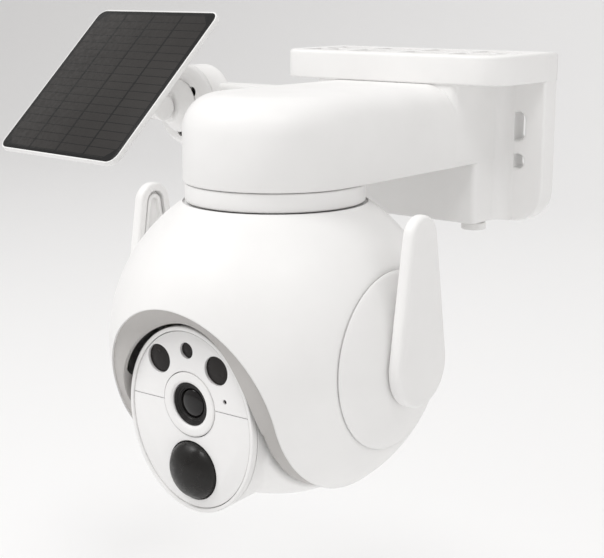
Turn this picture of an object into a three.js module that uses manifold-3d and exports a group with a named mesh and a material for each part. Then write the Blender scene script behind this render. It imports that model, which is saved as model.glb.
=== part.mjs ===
// Solar pan-and-tilt security camera on a wall and ceiling bracket.
// Millimetres, +Z up. The origin is the middle of the wall plate's back face; the wall is the plane Y = 0
// and the camera looks along -Y. "left" and "right" are the camera's own: left is +X, right is -X.
import * as THREE from "three";
import { mergeVertices } from "three/addons/utils/BufferGeometryUtils.js";
import Module from "manifold-3d";

const wasm = await Module();
wasm.setup();

// ---------------------------------------------------------------- driving dimensions
const GAP = 0.3; // between pieces that touch
const WALL = 2.4; // moulded wall thickness

const bracket = { width: 116.4, height: 74.4, depth: 50.2, roof: 12.4, plate: 10.3, corner: 14 };
const arm = { radius: 36.7, reach: 123.5, top: 24.6, bottom: -10.2, round: 14.5, pillarDepth: 30.8 };
const collar = { radius: 36, height: 7.5 };
const globe = { radius: 67.6, centreZ: -74.2, seam: 57.2, rearSeam: 48, neckHole: 37, pole: 65.8 };
const opening = { radius: 40.5, centreZ: -18, liner: 34.2, linerCentreZ: -22.7, linerHeight: 38.6, end: 130 };
const head = {
  lean: 3, face: 53, halfWidth: 31.6, halfHeight: 37.2, drop: 20, ball: 63.7, slab: 31, end: 125,
};
const lens = { drop: 13.5, ring: 12.8, barrel: 8.5, glass: 5.6, front: 52.4, seat: 3 };
const pir = { drop: 40.3, radius: 11.7, rise: 6 };
const lamp = { side: 14.6, rise: 2.5, radius: 5.7 };
const daySensor = { rise: 8, radius: 3.2 };
const mic = { side: 18.2, drop: 9, radius: 0.9 };
const paddle = { inner: 66.4, thickness: 5.4, base: 16.4, tip: 8.6, reach: 48.5 };
const cell = { radius: 9.1, length: 65 };
const panGears = { module: 1, wheel: 40, pinion: 12, distance: 26.2 };
const tiltGears = { module: 0.8, wheel: 36, pinion: 11, distance: 19, angle: 147 };
const solar = {
  baseX: -132, baseY: -32, baseZ: 6.6, yaw: -7, disc: 20, face: 16.8, discDepth: 6, knuckle: 20,
};
const stem = { length: 22.2, rise: 13.7, radius: 6.2 };
const panel = { lean: 45, standoff: 12.8, size: 92.6, glass: 90.6, thickness: 2.8, corner: 6 };

const RAD = Math.PI / 180;
const panY = -arm.reach;

// ---------------------------------------------------------------- solids from three.js geometry
function signedVolume(geometry) {
  const p = geometry.attributes.position;
  const index = geometry.index.array;
  const [a, b, c] = [new THREE.Vector3(), new THREE.Vector3(), new THREE.Vector3()];
  let volume = 0;
  for (let i = 0; i < index.length; i += 3) {
    a.fromBufferAttribute(p, index[i]);
    b.fromBufferAttribute(p, index[i + 1]);
    c.fromBufferAttribute(p, index[i + 2]);
    volume += a.dot(b.cross(c)) / 6;
  }
  return volume;
}

function solid(geometry) {
  let bare = geometry.clone();
  bare.deleteAttribute("normal");
  bare.deleteAttribute("uv");
  bare = mergeVertices(bare, 1e-4);
  const triVerts = Uint32Array.from(bare.index.array);
  if (signedVolume(bare) < 0) triVerts.reverse();
  const vertProperties = Float32Array.from(bare.attributes.position.array);
  return new wasm.Manifold(new wasm.Mesh({ numProp: 3, vertProperties, triVerts }));
}

function geometryOf(body) {
  const mesh = body.getMesh();
  const geometry = new THREE.BufferGeometry();
  geometry.setAttribute("position", new THREE.BufferAttribute(Float32Array.from(mesh.vertProperties), 3));
  geometry.setIndex(new THREE.BufferAttribute(Uint32Array.from(mesh.triVerts), 1));
  geometry.computeVertexNormals();
  return geometry;
}

const join = (...bodies) => bodies.reduce((sum, body) => sum.add(body));
const cut = (body, ...tools) => tools.reduce((rest, tool) => rest.subtract(tool), body);
const common = (...bodies) => bodies.reduce((rest, body) => rest.intersect(body));

function block(x0, x1, y0, y1, z0, z1) {
  const geometry = new THREE.BoxGeometry(x1 - x0, y1 - y0, z1 - z0);
  return solid(geometry.translate((x0 + x1) / 2, (y0 + y1) / 2, (z0 + z1) / 2));
}

// A cylinder or cone along "x", "y" or "z" between two stations, through (u, v) on the other two axes.
function rod(axis, from, to, radius, u = 0, v = 0, sides = 16, endRadius = radius) {
  const geometry = new THREE.CylinderGeometry(endRadius, radius, to - from, sides);
  const middle = (from + to) / 2;
  if (axis === "x") return solid(geometry.rotateZ(-Math.PI / 2).translate(middle, u, v));
  if (axis === "y") return solid(geometry.translate(u, middle, v));
  return solid(geometry.rotateX(Math.PI / 2).translate(u, v, middle));
}

// A shape drawn in (u, v) and swept along an axis: "y" keeps u as X and v as Z, "z" keeps u as X and v as Y,
// "x" keeps u as Y and v as Z.
function prism(shape, axis, from, to, curveSegments = 16) {
  const geometry = new THREE.ExtrudeGeometry(shape, { depth: to - from, bevelEnabled: false, curveSegments });
  if (axis === "y") geometry.rotateX(Math.PI / 2).translate(0, to, 0);
  if (axis === "x") geometry.rotateX(Math.PI / 2).rotateZ(Math.PI / 2).translate(from, 0, 0);
  if (axis === "z") geometry.translate(0, 0, from);
  return solid(geometry);
}

// A profile of [radius, height] points, closed on itself or on the axis, turned about Z.
function turned(profile, sides = 20) {
  const points = profile.map(([r, h]) => new THREE.Vector2(r, h));
  return solid(new THREE.LatheGeometry(points, sides).rotateX(Math.PI / 2));
}

const ball = (radius, wide = 24, high = 16) =>
  solid(new THREE.SphereGeometry(radius, wide, high).rotateZ(Math.PI / 2));

function ring(axis, from, to, outer, inner, u = 0, v = 0, sides = 24) {
  return cut(rod(axis, from, to, outer, u, v, sides), rod(axis, from - 1, to + 1, inner, u, v, sides));
}

function ellipseShape(halfWidth, halfHeight, centreV = 0) {
  const shape = new THREE.Shape();
  shape.absellipse(0, centreV, halfWidth, halfHeight, 0, 2 * Math.PI);
  return shape;
}

function roundedRect(width, height, radius) {
  const [w, h] = [width / 2, height / 2];
  const shape = new THREE.Shape();
  shape.moveTo(-w + radius, -h);
  shape.absarc(w - radius, -h + radius, radius, -Math.PI / 2, 0);
  shape.absarc(w - radius, h - radius, radius, 0, Math.PI / 2);
  shape.absarc(-w + radius, h - radius, radius, Math.PI / 2, Math.PI);
  shape.absarc(-w + radius, -h + radius, radius, Math.PI, 1.5 * Math.PI);
  shape.closePath();
  return shape;
}

// A spur gear: each tooth is a trapezium whose flanks leave running clearance at the pitch circle.
function gearShape(module, teeth, clearance = 0.12) {
  const pitch = (module * teeth) / 2;
  const root = pitch - 1.25 * module;
  const tip = pitch + 0.9 * module;
  const step = (2 * Math.PI) / teeth;
  const half = step / 4 - clearance / pitch;
  const lean = (0.34 * module) / pitch;
  const shape = new THREE.Shape();
  for (let i = 0; i < teeth; i++) {
    const flank = [
      [root, -half - lean],
      [tip, -half + lean],
      [tip, half - lean],
      [root, half + lean],
    ];
    for (const [r, turn] of flank) {
      const angle = i * step + turn;
      const point = [r * Math.cos(angle), r * Math.sin(angle)];
      if (i === 0 && r === root && turn < 0) shape.moveTo(...point);
      else shape.lineTo(...point);
    }
  }
  shape.closePath();
  return shape;
}

// ---------------------------------------------------------------- materials and the tree
const finish = {
  white: { color: 0xf2f1ef, roughness: 0.42, metalness: 0 },
  faceWhite: { color: 0xe9e8e6, roughness: 0.3, metalness: 0 },
  liner: { color: 0xb9b5b1, roughness: 0.55, metalness: 0 },
  lensBlack: { color: 0x161514, roughness: 0.25, metalness: 0 },
  smokedGlass: { color: 0x2b2827, roughness: 0.12, metalness: 0 },
  clearGlass: { color: 0x3a3a40, roughness: 0.05, metalness: 0 },
  steel: { color: 0xb4b6b8, roughness: 0.3, metalness: 1 },
  gearNylon: { color: 0xe4dfd2, roughness: 0.5, metalness: 0 },
  board: { color: 0x1f5a3a, roughness: 0.5, metalness: 0 },
  cellWrap: { color: 0x2f6fa8, roughness: 0.35, metalness: 0 },
  rubber: { color: 0x8f8c88, roughness: 0.8, metalness: 0 },
  solarGlass: { color: 0x2b2928, roughness: 0.18, metalness: 0 },
};

const camera = new THREE.Group();

function frameAt(parent, x, y, z) {
  const group = new THREE.Group();
  group.position.set(x, y, z);
  parent.add(group);
  return group;
}

const globeFrame = frameAt(camera, 0, panY, globe.centreZ);
const headFrame = frameAt(globeFrame, 0, 0, 0);
headFrame.rotation.x = head.lean * RAD;
const solarFrame = frameAt(camera, solar.baseX, solar.baseY, solar.baseZ);
solarFrame.rotation.z = solar.yaw * RAD;
const stemFrame = frameAt(solarFrame, 0, -solar.knuckle, 0);
stemFrame.rotation.x = -stem.rise * RAD;
const panelFrame = frameAt(stemFrame, 0, -stem.length, 0);
panelFrame.rotation.x = (stem.rise - panel.lean) * RAD;

function piece(parent, name, body, look) {
  const mesh = new THREE.Mesh(geometryOf(body), new THREE.MeshStandardMaterial(finish[look]));
  mesh.name = name;
  parent.add(mesh);
}

// ---------------------------------------------------------------- bracket and arm
const plateTop = bracket.height / 2;
const roofUnder = plateTop - bracket.roof;
const halfPlate = bracket.width / 2;

function roofShape() {
  const shape = new THREE.Shape();
  const r = bracket.corner;
  shape.moveTo(-halfPlate, 0);
  shape.lineTo(-halfPlate, -bracket.depth + r);
  shape.absarc(-halfPlate + r, -bracket.depth + r, r, Math.PI, 1.5 * Math.PI);
  shape.absarc(halfPlate - r, -bracket.depth + r, r, -Math.PI / 2, 0);
  shape.lineTo(halfPlate, 0);
  shape.closePath();
  return shape;
}

function wallPlateShape() {
  const shape = new THREE.Shape();
  const r = bracket.corner;
  shape.moveTo(-halfPlate, plateTop);
  shape.lineTo(-halfPlate, -plateTop + r);
  shape.absarc(-halfPlate + r, -plateTop + r, r, Math.PI, 1.5 * Math.PI);
  shape.absarc(halfPlate - r, -plateTop + r, r, -Math.PI / 2, 0);
  shape.lineTo(halfPlate, plateTop);
  shape.closePath();
  return shape;
}

// The arm in plan: parallel flanks with one round end about the pan axis.
function armPlan(inset, back) {
  const r = arm.radius - inset;
  const shape = new THREE.Shape();
  shape.moveTo(r, back);
  shape.lineTo(-r, back);
  shape.lineTo(-r, panY);
  shape.absarc(0, panY, r, Math.PI, 2 * Math.PI);
  shape.closePath();
  return shape;
}

function armBody(inset, top) {
  const round = arm.round - inset;
  const low = arm.bottom - 30;
  const bevel = { bevelEnabled: true, bevelThickness: round, bevelSize: round, bevelSegments: 4 };
  const geometry = new THREE.ExtrudeGeometry(armPlan(arm.round, -16), {
    depth: top - round - low,
    curveSegments: 9,
    ...bevel,
  });
  const whole = solid(geometry.translate(0, 0, low));
  const reachBack = -12 - inset;
  return common(whole, block(-60, 60, -200, reachBack, arm.bottom - (inset ? 1 : 0), top + 1));
}

// The pillar in plan, flaring into the wall plate with a concave fillet on each flank.
function pillarPlan(front) {
  const flare = 7;
  const [r, back] = [arm.radius, -bracket.plate];
  const shape = new THREE.Shape();
  shape.moveTo(-r, front);
  shape.lineTo(r, front);
  shape.lineTo(r, back - flare);
  shape.absarc(r + flare, back - flare, flare, Math.PI, Math.PI / 2, true);
  shape.lineTo(r + flare, back + 1);
  shape.lineTo(-r - flare, back + 1);
  shape.lineTo(-r - flare, back);
  shape.absarc(-r - flare, back - flare, flare, Math.PI / 2, 0, true);
  shape.closePath();
  return shape;
}

const wallHole = { side: 45.4, slotTop: 11.3, slotBottom: -1.3, width: 6.6, low: -10.4 };
const roofPocket = { columns: 4, rows: 2, pitchX: 26, pitchY: 19, width: 22, length: 15, depth: 7 };
const roofHole = { side: 45, y: -26, radius: 3.2, boss: 6.2 };
const inlet = { x: 30.5, y: -21, radius: 4.2, lip: 3.6 };

function wallHoles() {
  const tools = [];
  for (const side of [-wallHole.side, wallHole.side]) {
    const r = wallHole.width / 2;
    tools.push(rod("y", -20, 5, r, side, wallHole.slotTop - r, 12));
    tools.push(rod("y", -20, 5, r, side, wallHole.slotBottom + r, 12));
    tools.push(block(side - r, side + r, -20, 5, wallHole.slotBottom + r, wallHole.slotTop - r));
    tools.push(rod("y", -20, 5, r, side, wallHole.low, 12));
  }
  return tools;
}

function roofPockets() {
  let pockets = null;
  for (let i = 0; i < roofPocket.columns; i++) {
    for (let j = 0; j < roofPocket.rows; j++) {
      const x = (i - (roofPocket.columns - 1) / 2) * roofPocket.pitchX;
      const y = -bracket.depth / 2 - 1 + (j - 0.5) * roofPocket.pitchY;
      const [w, l] = [roofPocket.width / 2, roofPocket.length / 2];
      const pocket = block(x - w, x + w, y - l, y + l, plateTop - roofPocket.depth, plateTop + 1);
      pockets = pockets ? pockets.add(pocket) : pocket;
    }
  }
  const inside = new THREE.Shape(roofShape().getPoints(4).map((p) => p.multiplyScalar(0.95)));
  pockets = pockets.intersect(prism(inside, "z", 0, plateTop + 2));
  const bosses = [-1, 1].map((s) => rod("z", 0, 60, roofHole.boss, s * roofHole.side, roofHole.y, 20));
  return cut(pockets, ...bosses);
}

// Hollows in the wall plate's back, either side of a middle pad that stays solid.
function wallPockets() {
  const tools = [];
  for (const side of [-1, 1]) {
    const [x0, x1] = [Math.min(side * 13, side * 36), Math.max(side * 13, side * 36)];
    for (const [z0, z1] of [[-30, -6], [-3.5, 20]]) {
      tools.push(block(x0, x1, -bracket.plate + 3, 1, z0, z1));
    }
  }
  return tools;
}

const coverInset = WALL - 0.6; // the arm cover lies inside a step in the arm's lower edge
const coverDepth = 2.5;

function bracketHousing() {
  const roof = prism(roofShape(), "z", roofUnder, plateTop, 6);
  const wallPlate = prism(wallPlateShape(), "y", -bracket.plate, 0, 6);
  const neck = prism(pillarPlan(-bracket.depth + 0.01), "z", arm.bottom, roofUnder + 0.5, 4);
  const pillar = prism(pillarPlan(-arm.pillarDepth), "z", -plateTop, arm.bottom + 0.5, 4);
  const outer = join(roof, wallPlate, neck, pillar, armBody(0, arm.top));
  const hollow = armBody(WALL, arm.top - WALL);
  const r = arm.radius - WALL;
  const neckHollow = block(-r, r, -bracket.depth - 4, -13, arm.bottom + 6, roofUnder - WALL);
  const shaftHollow = block(-r, r, -arm.pillarDepth + WALL, -13, -plateTop + WALL, arm.bottom + 7);
  const seatPlan = armPlan(coverInset, -arm.pillarDepth - 1);
  const coverSeat = prism(seatPlan, "z", arm.bottom - 1, arm.bottom + coverDepth + GAP, 12);
  const roofHoles = [-1, 1].map((s) => rod("z", 0, 60, roofHole.radius, s * roofHole.side, roofHole.y, 16));
  const cableHole = rod("z", -60, -plateTop + 6, inlet.radius, inlet.x, inlet.y, 20);
  return cut(outer, hollow, neckHollow, shaftHollow, coverSeat, ...roofHoles, cableHole, ...wallHoles(),
    ...wallPockets(), roofPockets());
}

function cableGrommet() {
  const [bore, low, top] = [1.9, -inlet.lip, 2.6];
  const r = inlet.radius - GAP;
  const profile = [[bore, low], [r + 1.6, low], [r + 1.6, -GAP], [r, -GAP], [r, top], [bore, top], [bore, low]];
  return turned(profile, 20);
}

const motorPost = { x: 15, y: 12 };

function armCover() {
  const top = arm.bottom + coverDepth;
  const plate = prism(armPlan(coverInset + GAP, -arm.pillarDepth - 1 - GAP), "z", arm.bottom, top, 12);
  const posts = [];
  for (const sx of [-1, 1]) {
    for (const sy of [-1, 1]) {
      const y = panY + panGears.distance + sy * motorPost.y;
      posts.push(rod("z", top - 0.5, motorZ - GAP, 2.4, sx * motorPost.x, y, 12));
    }
  }
  return cut(join(plate, ...posts), rod("z", -40, 20, 24, 0, panY, 28));
}

function panCollar() {
  const [top, low] = [arm.bottom - GAP, arm.bottom - collar.height];
  const profile = [[22, low], [collar.radius - 0.8, low], [collar.radius, low + 0.8], [collar.radius, top]];
  const inside = [[24, top], [24, low + 5.4], [22, low + 5.4], [22, low]];
  return turned([...profile, ...inside], 28);
}

// ---------------------------------------------------------------- pan drive
const gearZ = -6;
const motorZ = 0;
const neckTop = -0.8;
const bearingZ = arm.bottom - collar.height + 0.4;

const panBearing = () => ring("z", bearingZ, bearingZ + 4.6, 21.7, 13.4, 0, panY, 28);

function panMotor() {
  const y = panY + panGears.distance;
  const can = rod("z", motorZ, motorZ + 18, 14, 0, y, 24);
  const ears = block(-18, 18, y - 13, y + 13, motorZ, motorZ + 1.2);
  return cut(join(can, ears), rod("z", motorZ - 1, motorZ + 8, 2.4, 0, y, 16));
}

function panPinion() {
  const y = panY + panGears.distance;
  const wheel = prism(gearShape(panGears.module, panGears.pinion), "z", gearZ, gearZ + 4, 1);
  return join(wheel, rod("z", gearZ, motorZ + 7, 2, 0, 0, 16)).translate([0, y, 0]);
}

// The wheel is turned so that a gap faces the pinion's tooth.
function panWheel() {
  const wheel = prism(gearShape(panGears.module, panGears.wheel), "z", gearZ, gearZ + 4, 1);
  return cut(wheel.rotate([0, 0, 90 + 180 / panGears.wheel]), rod("z", -20, 20, 13.3, 0, 0, 24));
}

// The neck in the globe's own frame: flange on the chassis, tube up through the bearing to the wheel.
const chassisTop = 46.5;
const deckThickness = 2.5;
function panNeck() {
  const low = chassisTop + GAP;
  const top = neckTop - globe.centreZ;
  const [bore, tube, flange] = [9.5, 13, 20];
  const outside = [[flange, low], [flange, low + 3], [tube, low + 3], [tube, top]];
  return turned([[bore, low], ...outside, [bore, top], [bore, low]], 24);
}

// ---------------------------------------------------------------- globe
// The part of the sphere between two stations of X, as a band of even thickness.
function globeBand() {
  const turn = Math.acos((globe.seam - GAP / 2) / globe.radius);
  const steps = 12;
  const innerSteps = 7;
  const inner = globe.radius - WALL;
  const outerArc = [];
  const innerArc = [];
  for (let i = 0; i <= steps; i++) {
    const angle = turn + ((Math.PI - 2 * turn) * i) / steps;
    outerArc.push([globe.radius * Math.sin(angle), globe.radius * Math.cos(angle)]);
  }
  const innerTurn = Math.acos((globe.seam - GAP / 2) / inner);
  for (let i = 0; i <= innerSteps; i++) {
    const angle = innerTurn + ((Math.PI - 2 * innerTurn) * i) / innerSteps;
    innerArc.unshift([inner * Math.sin(angle), inner * Math.cos(angle)]);
  }
  return turned([...outerArc, ...innerArc, outerArc[0]], 30).rotate([0, 90, 0]);
}

// The mouth seen from the front: an arch above straight sides that run down past the globe.
function mouthFront(grow) {
  const r = opening.radius + grow;
  const shape = new THREE.Shape();
  shape.moveTo(-r, -90);
  shape.lineTo(r, -90);
  shape.lineTo(r, opening.centreZ);
  shape.absarc(0, opening.centreZ, r, 0, Math.PI);
  shape.closePath();
  return shape;
}

// The mouth seen from below: straight sides that end in an arch behind.
const mouthEndY = -globe.radius * Math.cos(opening.end * RAD);
function mouthBelow(grow) {
  const r = opening.radius + grow;
  const centre = mouthEndY - opening.radius;
  const shape = new THREE.Shape();
  shape.moveTo(-r, -90);
  shape.lineTo(r, -90);
  shape.lineTo(r, centre);
  shape.absarc(0, centre, r, 0, Math.PI);
  shape.closePath();
  return shape;
}

function mouth(grow) {
  const front = prism(mouthFront(grow), "y", -90, 0, 8);
  const below = prism(mouthBelow(grow), "z", -90, opening.centreZ, 8);
  return join(front, below);
}

function globeShell() {
  const band = cut(globeBand(), mouth(0), block(-80, 80, globe.rearSeam - GAP / 2, 90, -80, 80));
  const deck = rod("z", 52.8, 55.4, globe.neckHole + 0.6, 0, 0, 28);
  const opened = cut(band, rod("z", 40, 90, globe.neckHole, 0, 0, 28));
  return cut(join(opened, deck), rod("z", 40, 90, 13.6, 0, 0, 24));
}

// The liner runs up one side of the mouth, over the top and down the other, as a strip that slopes inwards
// from a rim on the globe's surface to a lip beside the head.
const liner = { rim: opening.radius - GAP, skin: globe.radius - GAP, sideLip: 54, topLip: 57.3, endY: 20 };

function linerSide(side) {
  const onGlobe = (x, y) => -Math.sqrt(liner.skin ** 2 - x * x - y * y);
  const stations = [];
  const behind = 5;
  for (let i = 0; i < behind; i++) {
    const y = liner.endY * (1 - i / behind);
    const past = Math.max(0, y - mouthEndY + opening.radius);
    const x = Math.sqrt(liner.rim ** 2 - past ** 2);
    stations.push({
      rim: [side * x, y, onGlobe(x, y)],
      lip: [side * Math.min(opening.liner, x - 1), y, -Math.sqrt(liner.sideLip ** 2 - y * y)],
    });
  }
  const sideRim = Math.sqrt(liner.skin ** 2 - liner.rim ** 2);
  const rimStart = Math.asin(-opening.centreZ / sideRim);
  const lipStart = Math.asin(-opening.linerCentreZ / liner.sideLip);
  const below = 5;
  for (let i = 0; i < below; i++) {
    const rimTurn = THREE.MathUtils.lerp(Math.PI / 2, rimStart, i / below);
    const lipTurn = THREE.MathUtils.lerp(Math.PI / 2, lipStart, i / below);
    stations.push({
      rim: [side * liner.rim, -sideRim * Math.cos(rimTurn), -sideRim * Math.sin(rimTurn)],
      lip: [side * opening.liner, -liner.sideLip * Math.cos(lipTurn), -liner.sideLip * Math.sin(lipTurn)],
    });
  }
  return stations;
}

function linerArch() {
  const steps = 16;
  const stations = [];
  for (let i = 0; i <= steps; i++) {
    const a = Math.PI * (1 - i / steps);
    const [x, z] = [liner.rim * Math.cos(a), opening.centreZ + liner.rim * Math.sin(a)];
    const lipX = opening.liner * Math.cos(a);
    const lipZ = opening.linerCentreZ + opening.linerHeight * Math.sin(a);
    const reach = THREE.MathUtils.lerp(liner.sideLip, liner.topLip, Math.sqrt(Math.sin(a)));
    stations.push({
      rim: [x, -Math.sqrt(liner.skin ** 2 - x * x - z * z), z],
      lip: [lipX, -Math.sqrt(reach ** 2 - lipZ ** 2), lipZ],
    });
  }
  return stations;
}

const recessLiner = () => solid(strip([...linerSide(-1), ...linerArch(), ...linerSide(1).reverse()]));

// A closed strip through stations, its back set inwards towards the tilt axis: thin at the rim, and deep at the
// lip wherever there is room beside the head.
function strip(stations) {
  const thin = 1.8;
  const deep = 9;
  const clearOfHead = head.halfWidth + 1.6;
  const inwards = ([x, y, z], depth) => {
    const r = Math.hypot(y, z);
    return [x, (y * (r - depth)) / r, (z * (r - depth)) / r];
  };
  const rings = stations.map(({ rim, lip }) => {
    const lipDepth = Math.abs(lip[0]) > clearOfHead ? deep : thin;
    return [rim, lip, inwards(lip, lipDepth), inwards(rim, thin)];
  });
  const position = rings.flat(2);
  const index = [];
  for (let i = 0; i + 1 < rings.length; i++) {
    for (let k = 0; k < 4; k++) {
      const [a, b] = [4 * i + k, 4 * i + ((k + 1) % 4)];
      index.push(a, b, b + 4, a, b + 4, a + 4);
    }
  }
  const end = 4 * (rings.length - 1);
  index.push(0, 2, 1, 0, 3, 2, end, end + 1, end + 2, end, end + 2, end + 3);
  const geometry = new THREE.BufferGeometry();
  geometry.setAttribute("position", new THREE.Float32BufferAttribute(position, 3));
  geometry.setIndex(index);
  return geometry;
}

const port = { width: 36, height: 17, floor: 60.4, flapDepth: 1.8 };
const control = { power: -11, reset: -3.5, usb: 5, card: 12.5, radius: 2.4, resetRadius: 1.5 };

function capAlongY(radius, from) {
  return common(ball(radius, 24, 16), block(-80, 80, from, 90, -80, 80));
}

function rearCover() {
  const start = globe.rearSeam + GAP / 2;
  const skin = cut(capAlongY(globe.radius, start), capAlongY(globe.radius - WALL, start - 5));
  const trayShape = roundedRect(port.width + 2 * WALL, port.height + 2 * WALL, 4);
  const tray = common(prism(trayShape, "y", port.floor - WALL, 70, 4), ball(globe.radius - 0.5, 24, 16));
  const pocket = prism(roundedRect(port.width, port.height, 3), "y", port.floor, 80, 4);
  const through = [
    rod("y", 50, 70, control.radius + GAP, control.power, 0, 20),
    rod("y", 50, 70, control.resetRadius + GAP, control.reset, 0, 16),
    block(control.usb - 4.6, control.usb + 3.4, 50, 70, -1.7, 1.7),
    block(control.card - 2.2, control.card + 2.2, 50, 70, -6, 6),
  ];
  return cut(join(skin, tray), pocket, ...through);
}

// The flap fills the pocket's mouth, just below the globe's surface, and folds down about its lower edge.
function portFlap() {
  const w = port.width - 2 * GAP;
  const shape = roundedRect(w, port.height - 2 * GAP, 2.6);
  const outside = common(prism(shape, "y", 50, 80, 4), ball(globe.radius - 0.2, 24, 16));
  return cut(outside, ball(globe.radius - 0.2 - port.flapDepth, 24, 16));
}

function pushButton(radius, x) {
  const back = port.floor - WALL;
  return join(
    rod("y", back - 1.6, port.floor + 0.8, radius, x, 0, 16),
    rod("y", back - 1.6, back - 0.7, radius + 0.8, x, 0, 16),
  );
}

function controlBoard() {
  const face = port.floor - WALL - 3.4;
  const sheet = block(-16, 17, face - 1.6, face, -8, 8);
  const usb = block(control.usb - 4.3, control.usb + 3.1, face - 0.5, port.floor - 0.6, -1.4, 1.4);
  const card = block(control.card - 1.9, control.card + 1.9, face - 0.5, port.floor - 0.6, -5.7, 5.7);
  return join(sheet, usb, card);
}

function sideCap(side) {
  const start = globe.seam + GAP / 2;
  const inner = globe.radius - WALL;
  const outerTurn = Math.acos(start / globe.radius);
  const poleTurn = Math.acos(globe.pole / globe.radius);
  const innerTurn = Math.acos(start / inner);
  const innerPole = Math.acos((globe.pole - WALL) / inner);
  const steps = 3;
  const profile = [];
  for (let i = 0; i <= steps; i++) {
    const angle = THREE.MathUtils.lerp(outerTurn, poleTurn, i / steps);
    profile.push([globe.radius * Math.sin(angle), globe.radius * Math.cos(angle)]);
  }
  profile.push([5.4, globe.pole], [5.4, globe.pole - WALL]);
  for (let i = 0; i <= 2; i++) {
    const angle = THREE.MathUtils.lerp(innerPole, innerTurn, i / 2);
    profile.push([inner * Math.sin(angle), inner * Math.cos(angle)]);
  }
  profile.push(profile[0]);
  return turned(profile, 28).rotate([0, 90 * side, 0]);
}

// ---------------------------------------------------------------- inside the globe
const arms = { inner: 36.4, outer: 38.4 };
const shaft = { radius: 2.5, half: 38.2 };
const tiltMotor = {
  y: tiltGears.distance * Math.cos(tiltGears.angle * RAD),
  z: tiltGears.distance * Math.sin(tiltGears.angle * RAD),
  radius: 10,
  length: 13,
};

function chassis() {
  const deck = block(-arms.outer, arms.outer, -37, 16, chassisTop - deckThickness, chassisTop);
  const trimmed = common(deck, rod("z", 0, 80, 43, 0, 0, 40));
  const cheeks = [-1, 1].map((s) => {
    const [x0, x1] = [Math.min(s * arms.inner, s * arms.outer), Math.max(s * arms.inner, s * arms.outer)];
    return join(block(x0, x1, -12, 14, 0, chassisTop - 0.5), rod("x", x0, x1, 13, 0, 0, 24));
  });
  const motorPad = common(
    rod("x", -arms.outer, -arms.inner, 12, tiltMotor.y, tiltMotor.z, 24),
    ball(60, 24, 16),
  );
  const holes = [
    rod("x", -60, 60, shaft.radius + GAP, 0, 0, 20),
    rod("x", -60, -30, 2.6, tiltMotor.y, tiltMotor.z, 16),
    rod("z", 0, 80, 9.5, 0, 0, 24),
  ];
  return cut(join(trimmed, ...cheeks, motorPad), ...holes);
}

function tiltMotorBody() {
  const start = -arms.outer - GAP;
  const can = rod("x", start - tiltMotor.length, start, tiltMotor.radius, tiltMotor.y, tiltMotor.z, 28);
  return cut(can, rod("x", start - 6, start + 1, 1.8, tiltMotor.y, tiltMotor.z, 12));
}

const tiltGearX = -35.4;
const tiltGearWidth = 3;
const alongX = (body) => body.rotate([90, 0, 90]);

// The pinion turns on a stub shaft that reaches through the cheek into the motor.
function tiltPinion() {
  const wheel = alongX(prism(gearShape(tiltGears.module, tiltGears.pinion, 0.1), "z", 0, tiltGearWidth, 1));
  const facing = wheel.rotate([tiltGears.angle + 180, 0, 0]).translate([tiltGearX, 0, 0]);
  return join(facing, rod("x", -arms.outer - 5, tiltGearX + 1, 1.5, 0, 0, 12))
    .translate([0, tiltMotor.y, tiltMotor.z]);
}

function tiltWheel() {
  const wheel = alongX(prism(gearShape(tiltGears.module, tiltGears.wheel, 0.1), "z", 0, tiltGearWidth, 1));
  const turn = tiltGears.angle + 180 / tiltGears.wheel - head.lean;
  return cut(wheel.rotate([turn, 0, 0]).translate([tiltGearX, 0, 0]), rod("x", -50, 0, shaft.radius + GAP));
}

const cells = [
  { y: 39, z: 18.5 },
  { y: 25, z: 36.5 },
];

const batteryCell = ({ y, z }) => rod("x", -cell.length / 2, cell.length / 2, cell.radius, y, z, 16);

function batteryCradle() {
  const clips = cells.map(({ y, z }) => rod("x", -14, 14, cell.radius + 2, y, z, 16));
  const seats = cells.map(({ y, z }) => rod("x", -40, 40, cell.radius + GAP, y, z, 16));
  const web = block(-14, 14, 16.4, 39, 20, 43);
  return cut(join(...clips, web), ...seats, block(-20, 20, 41, 60, 24, 60));
}

function mainBoard() {
  const sheet = block(-28, 28, 10.6, 12.2, 15, chassisTop - 2.8);
  const chips = [
    block(-9, 5, 8.8, 10.7, 22, 34),
    block(9, 17, 9.4, 10.7, 24, 32),
    block(-24, -16, 7.4, 10.7, 18, 26),
  ];
  return join(sheet, ...chips);
}

function speaker() {
  const top = chassisTop - deckThickness - GAP;
  const low = top - 4.6;
  const cone = [[0, low], [8, low], [8, low + 2], [13.6, top - 1], [13.6, top], [0, top]];
  return turned(cone, 28).translate([0, -22, 0]);
}

// ---------------------------------------------------------------- head
const faceBack = -head.face + 2.2;
const shellStart = faceBack + GAP;
const shellEnd = 8;

const headOval = (inset) => ellipseShape(head.halfWidth - inset, head.halfHeight - inset, -head.drop);

function headBall(radius, slab, start, endTurn) {
  const box = block(-slab, slab, start, 80, -90, -head.drop);
  const slice = common(ball(radius, 24, 16), box);
  const behind = block(-90, 90, 0, 120, -120, 120).rotate([endTurn - 90, 0, 0]);
  return cut(slice, behind);
}

function headHousing() {
  const tube = prism(headOval(0), "y", shellStart, shellEnd, 14);
  const lower = headBall(head.ball, head.slab, -44, head.end);
  const w = WALL;
  const bore = prism(headOval(w), "y", shellStart - 1, shellEnd - w, 14);
  const belly = headBall(head.ball - w, head.slab - w, -44 + w, head.end - 3);
  const shaftHole = rod("x", -50, 50, shaft.radius + GAP, 0, 0, 20);
  return cut(join(tube, lower), bore, cut(belly, block(-90, 90, -90, 90, -head.drop - w - 6, 0)), shaftHole);
}

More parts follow.
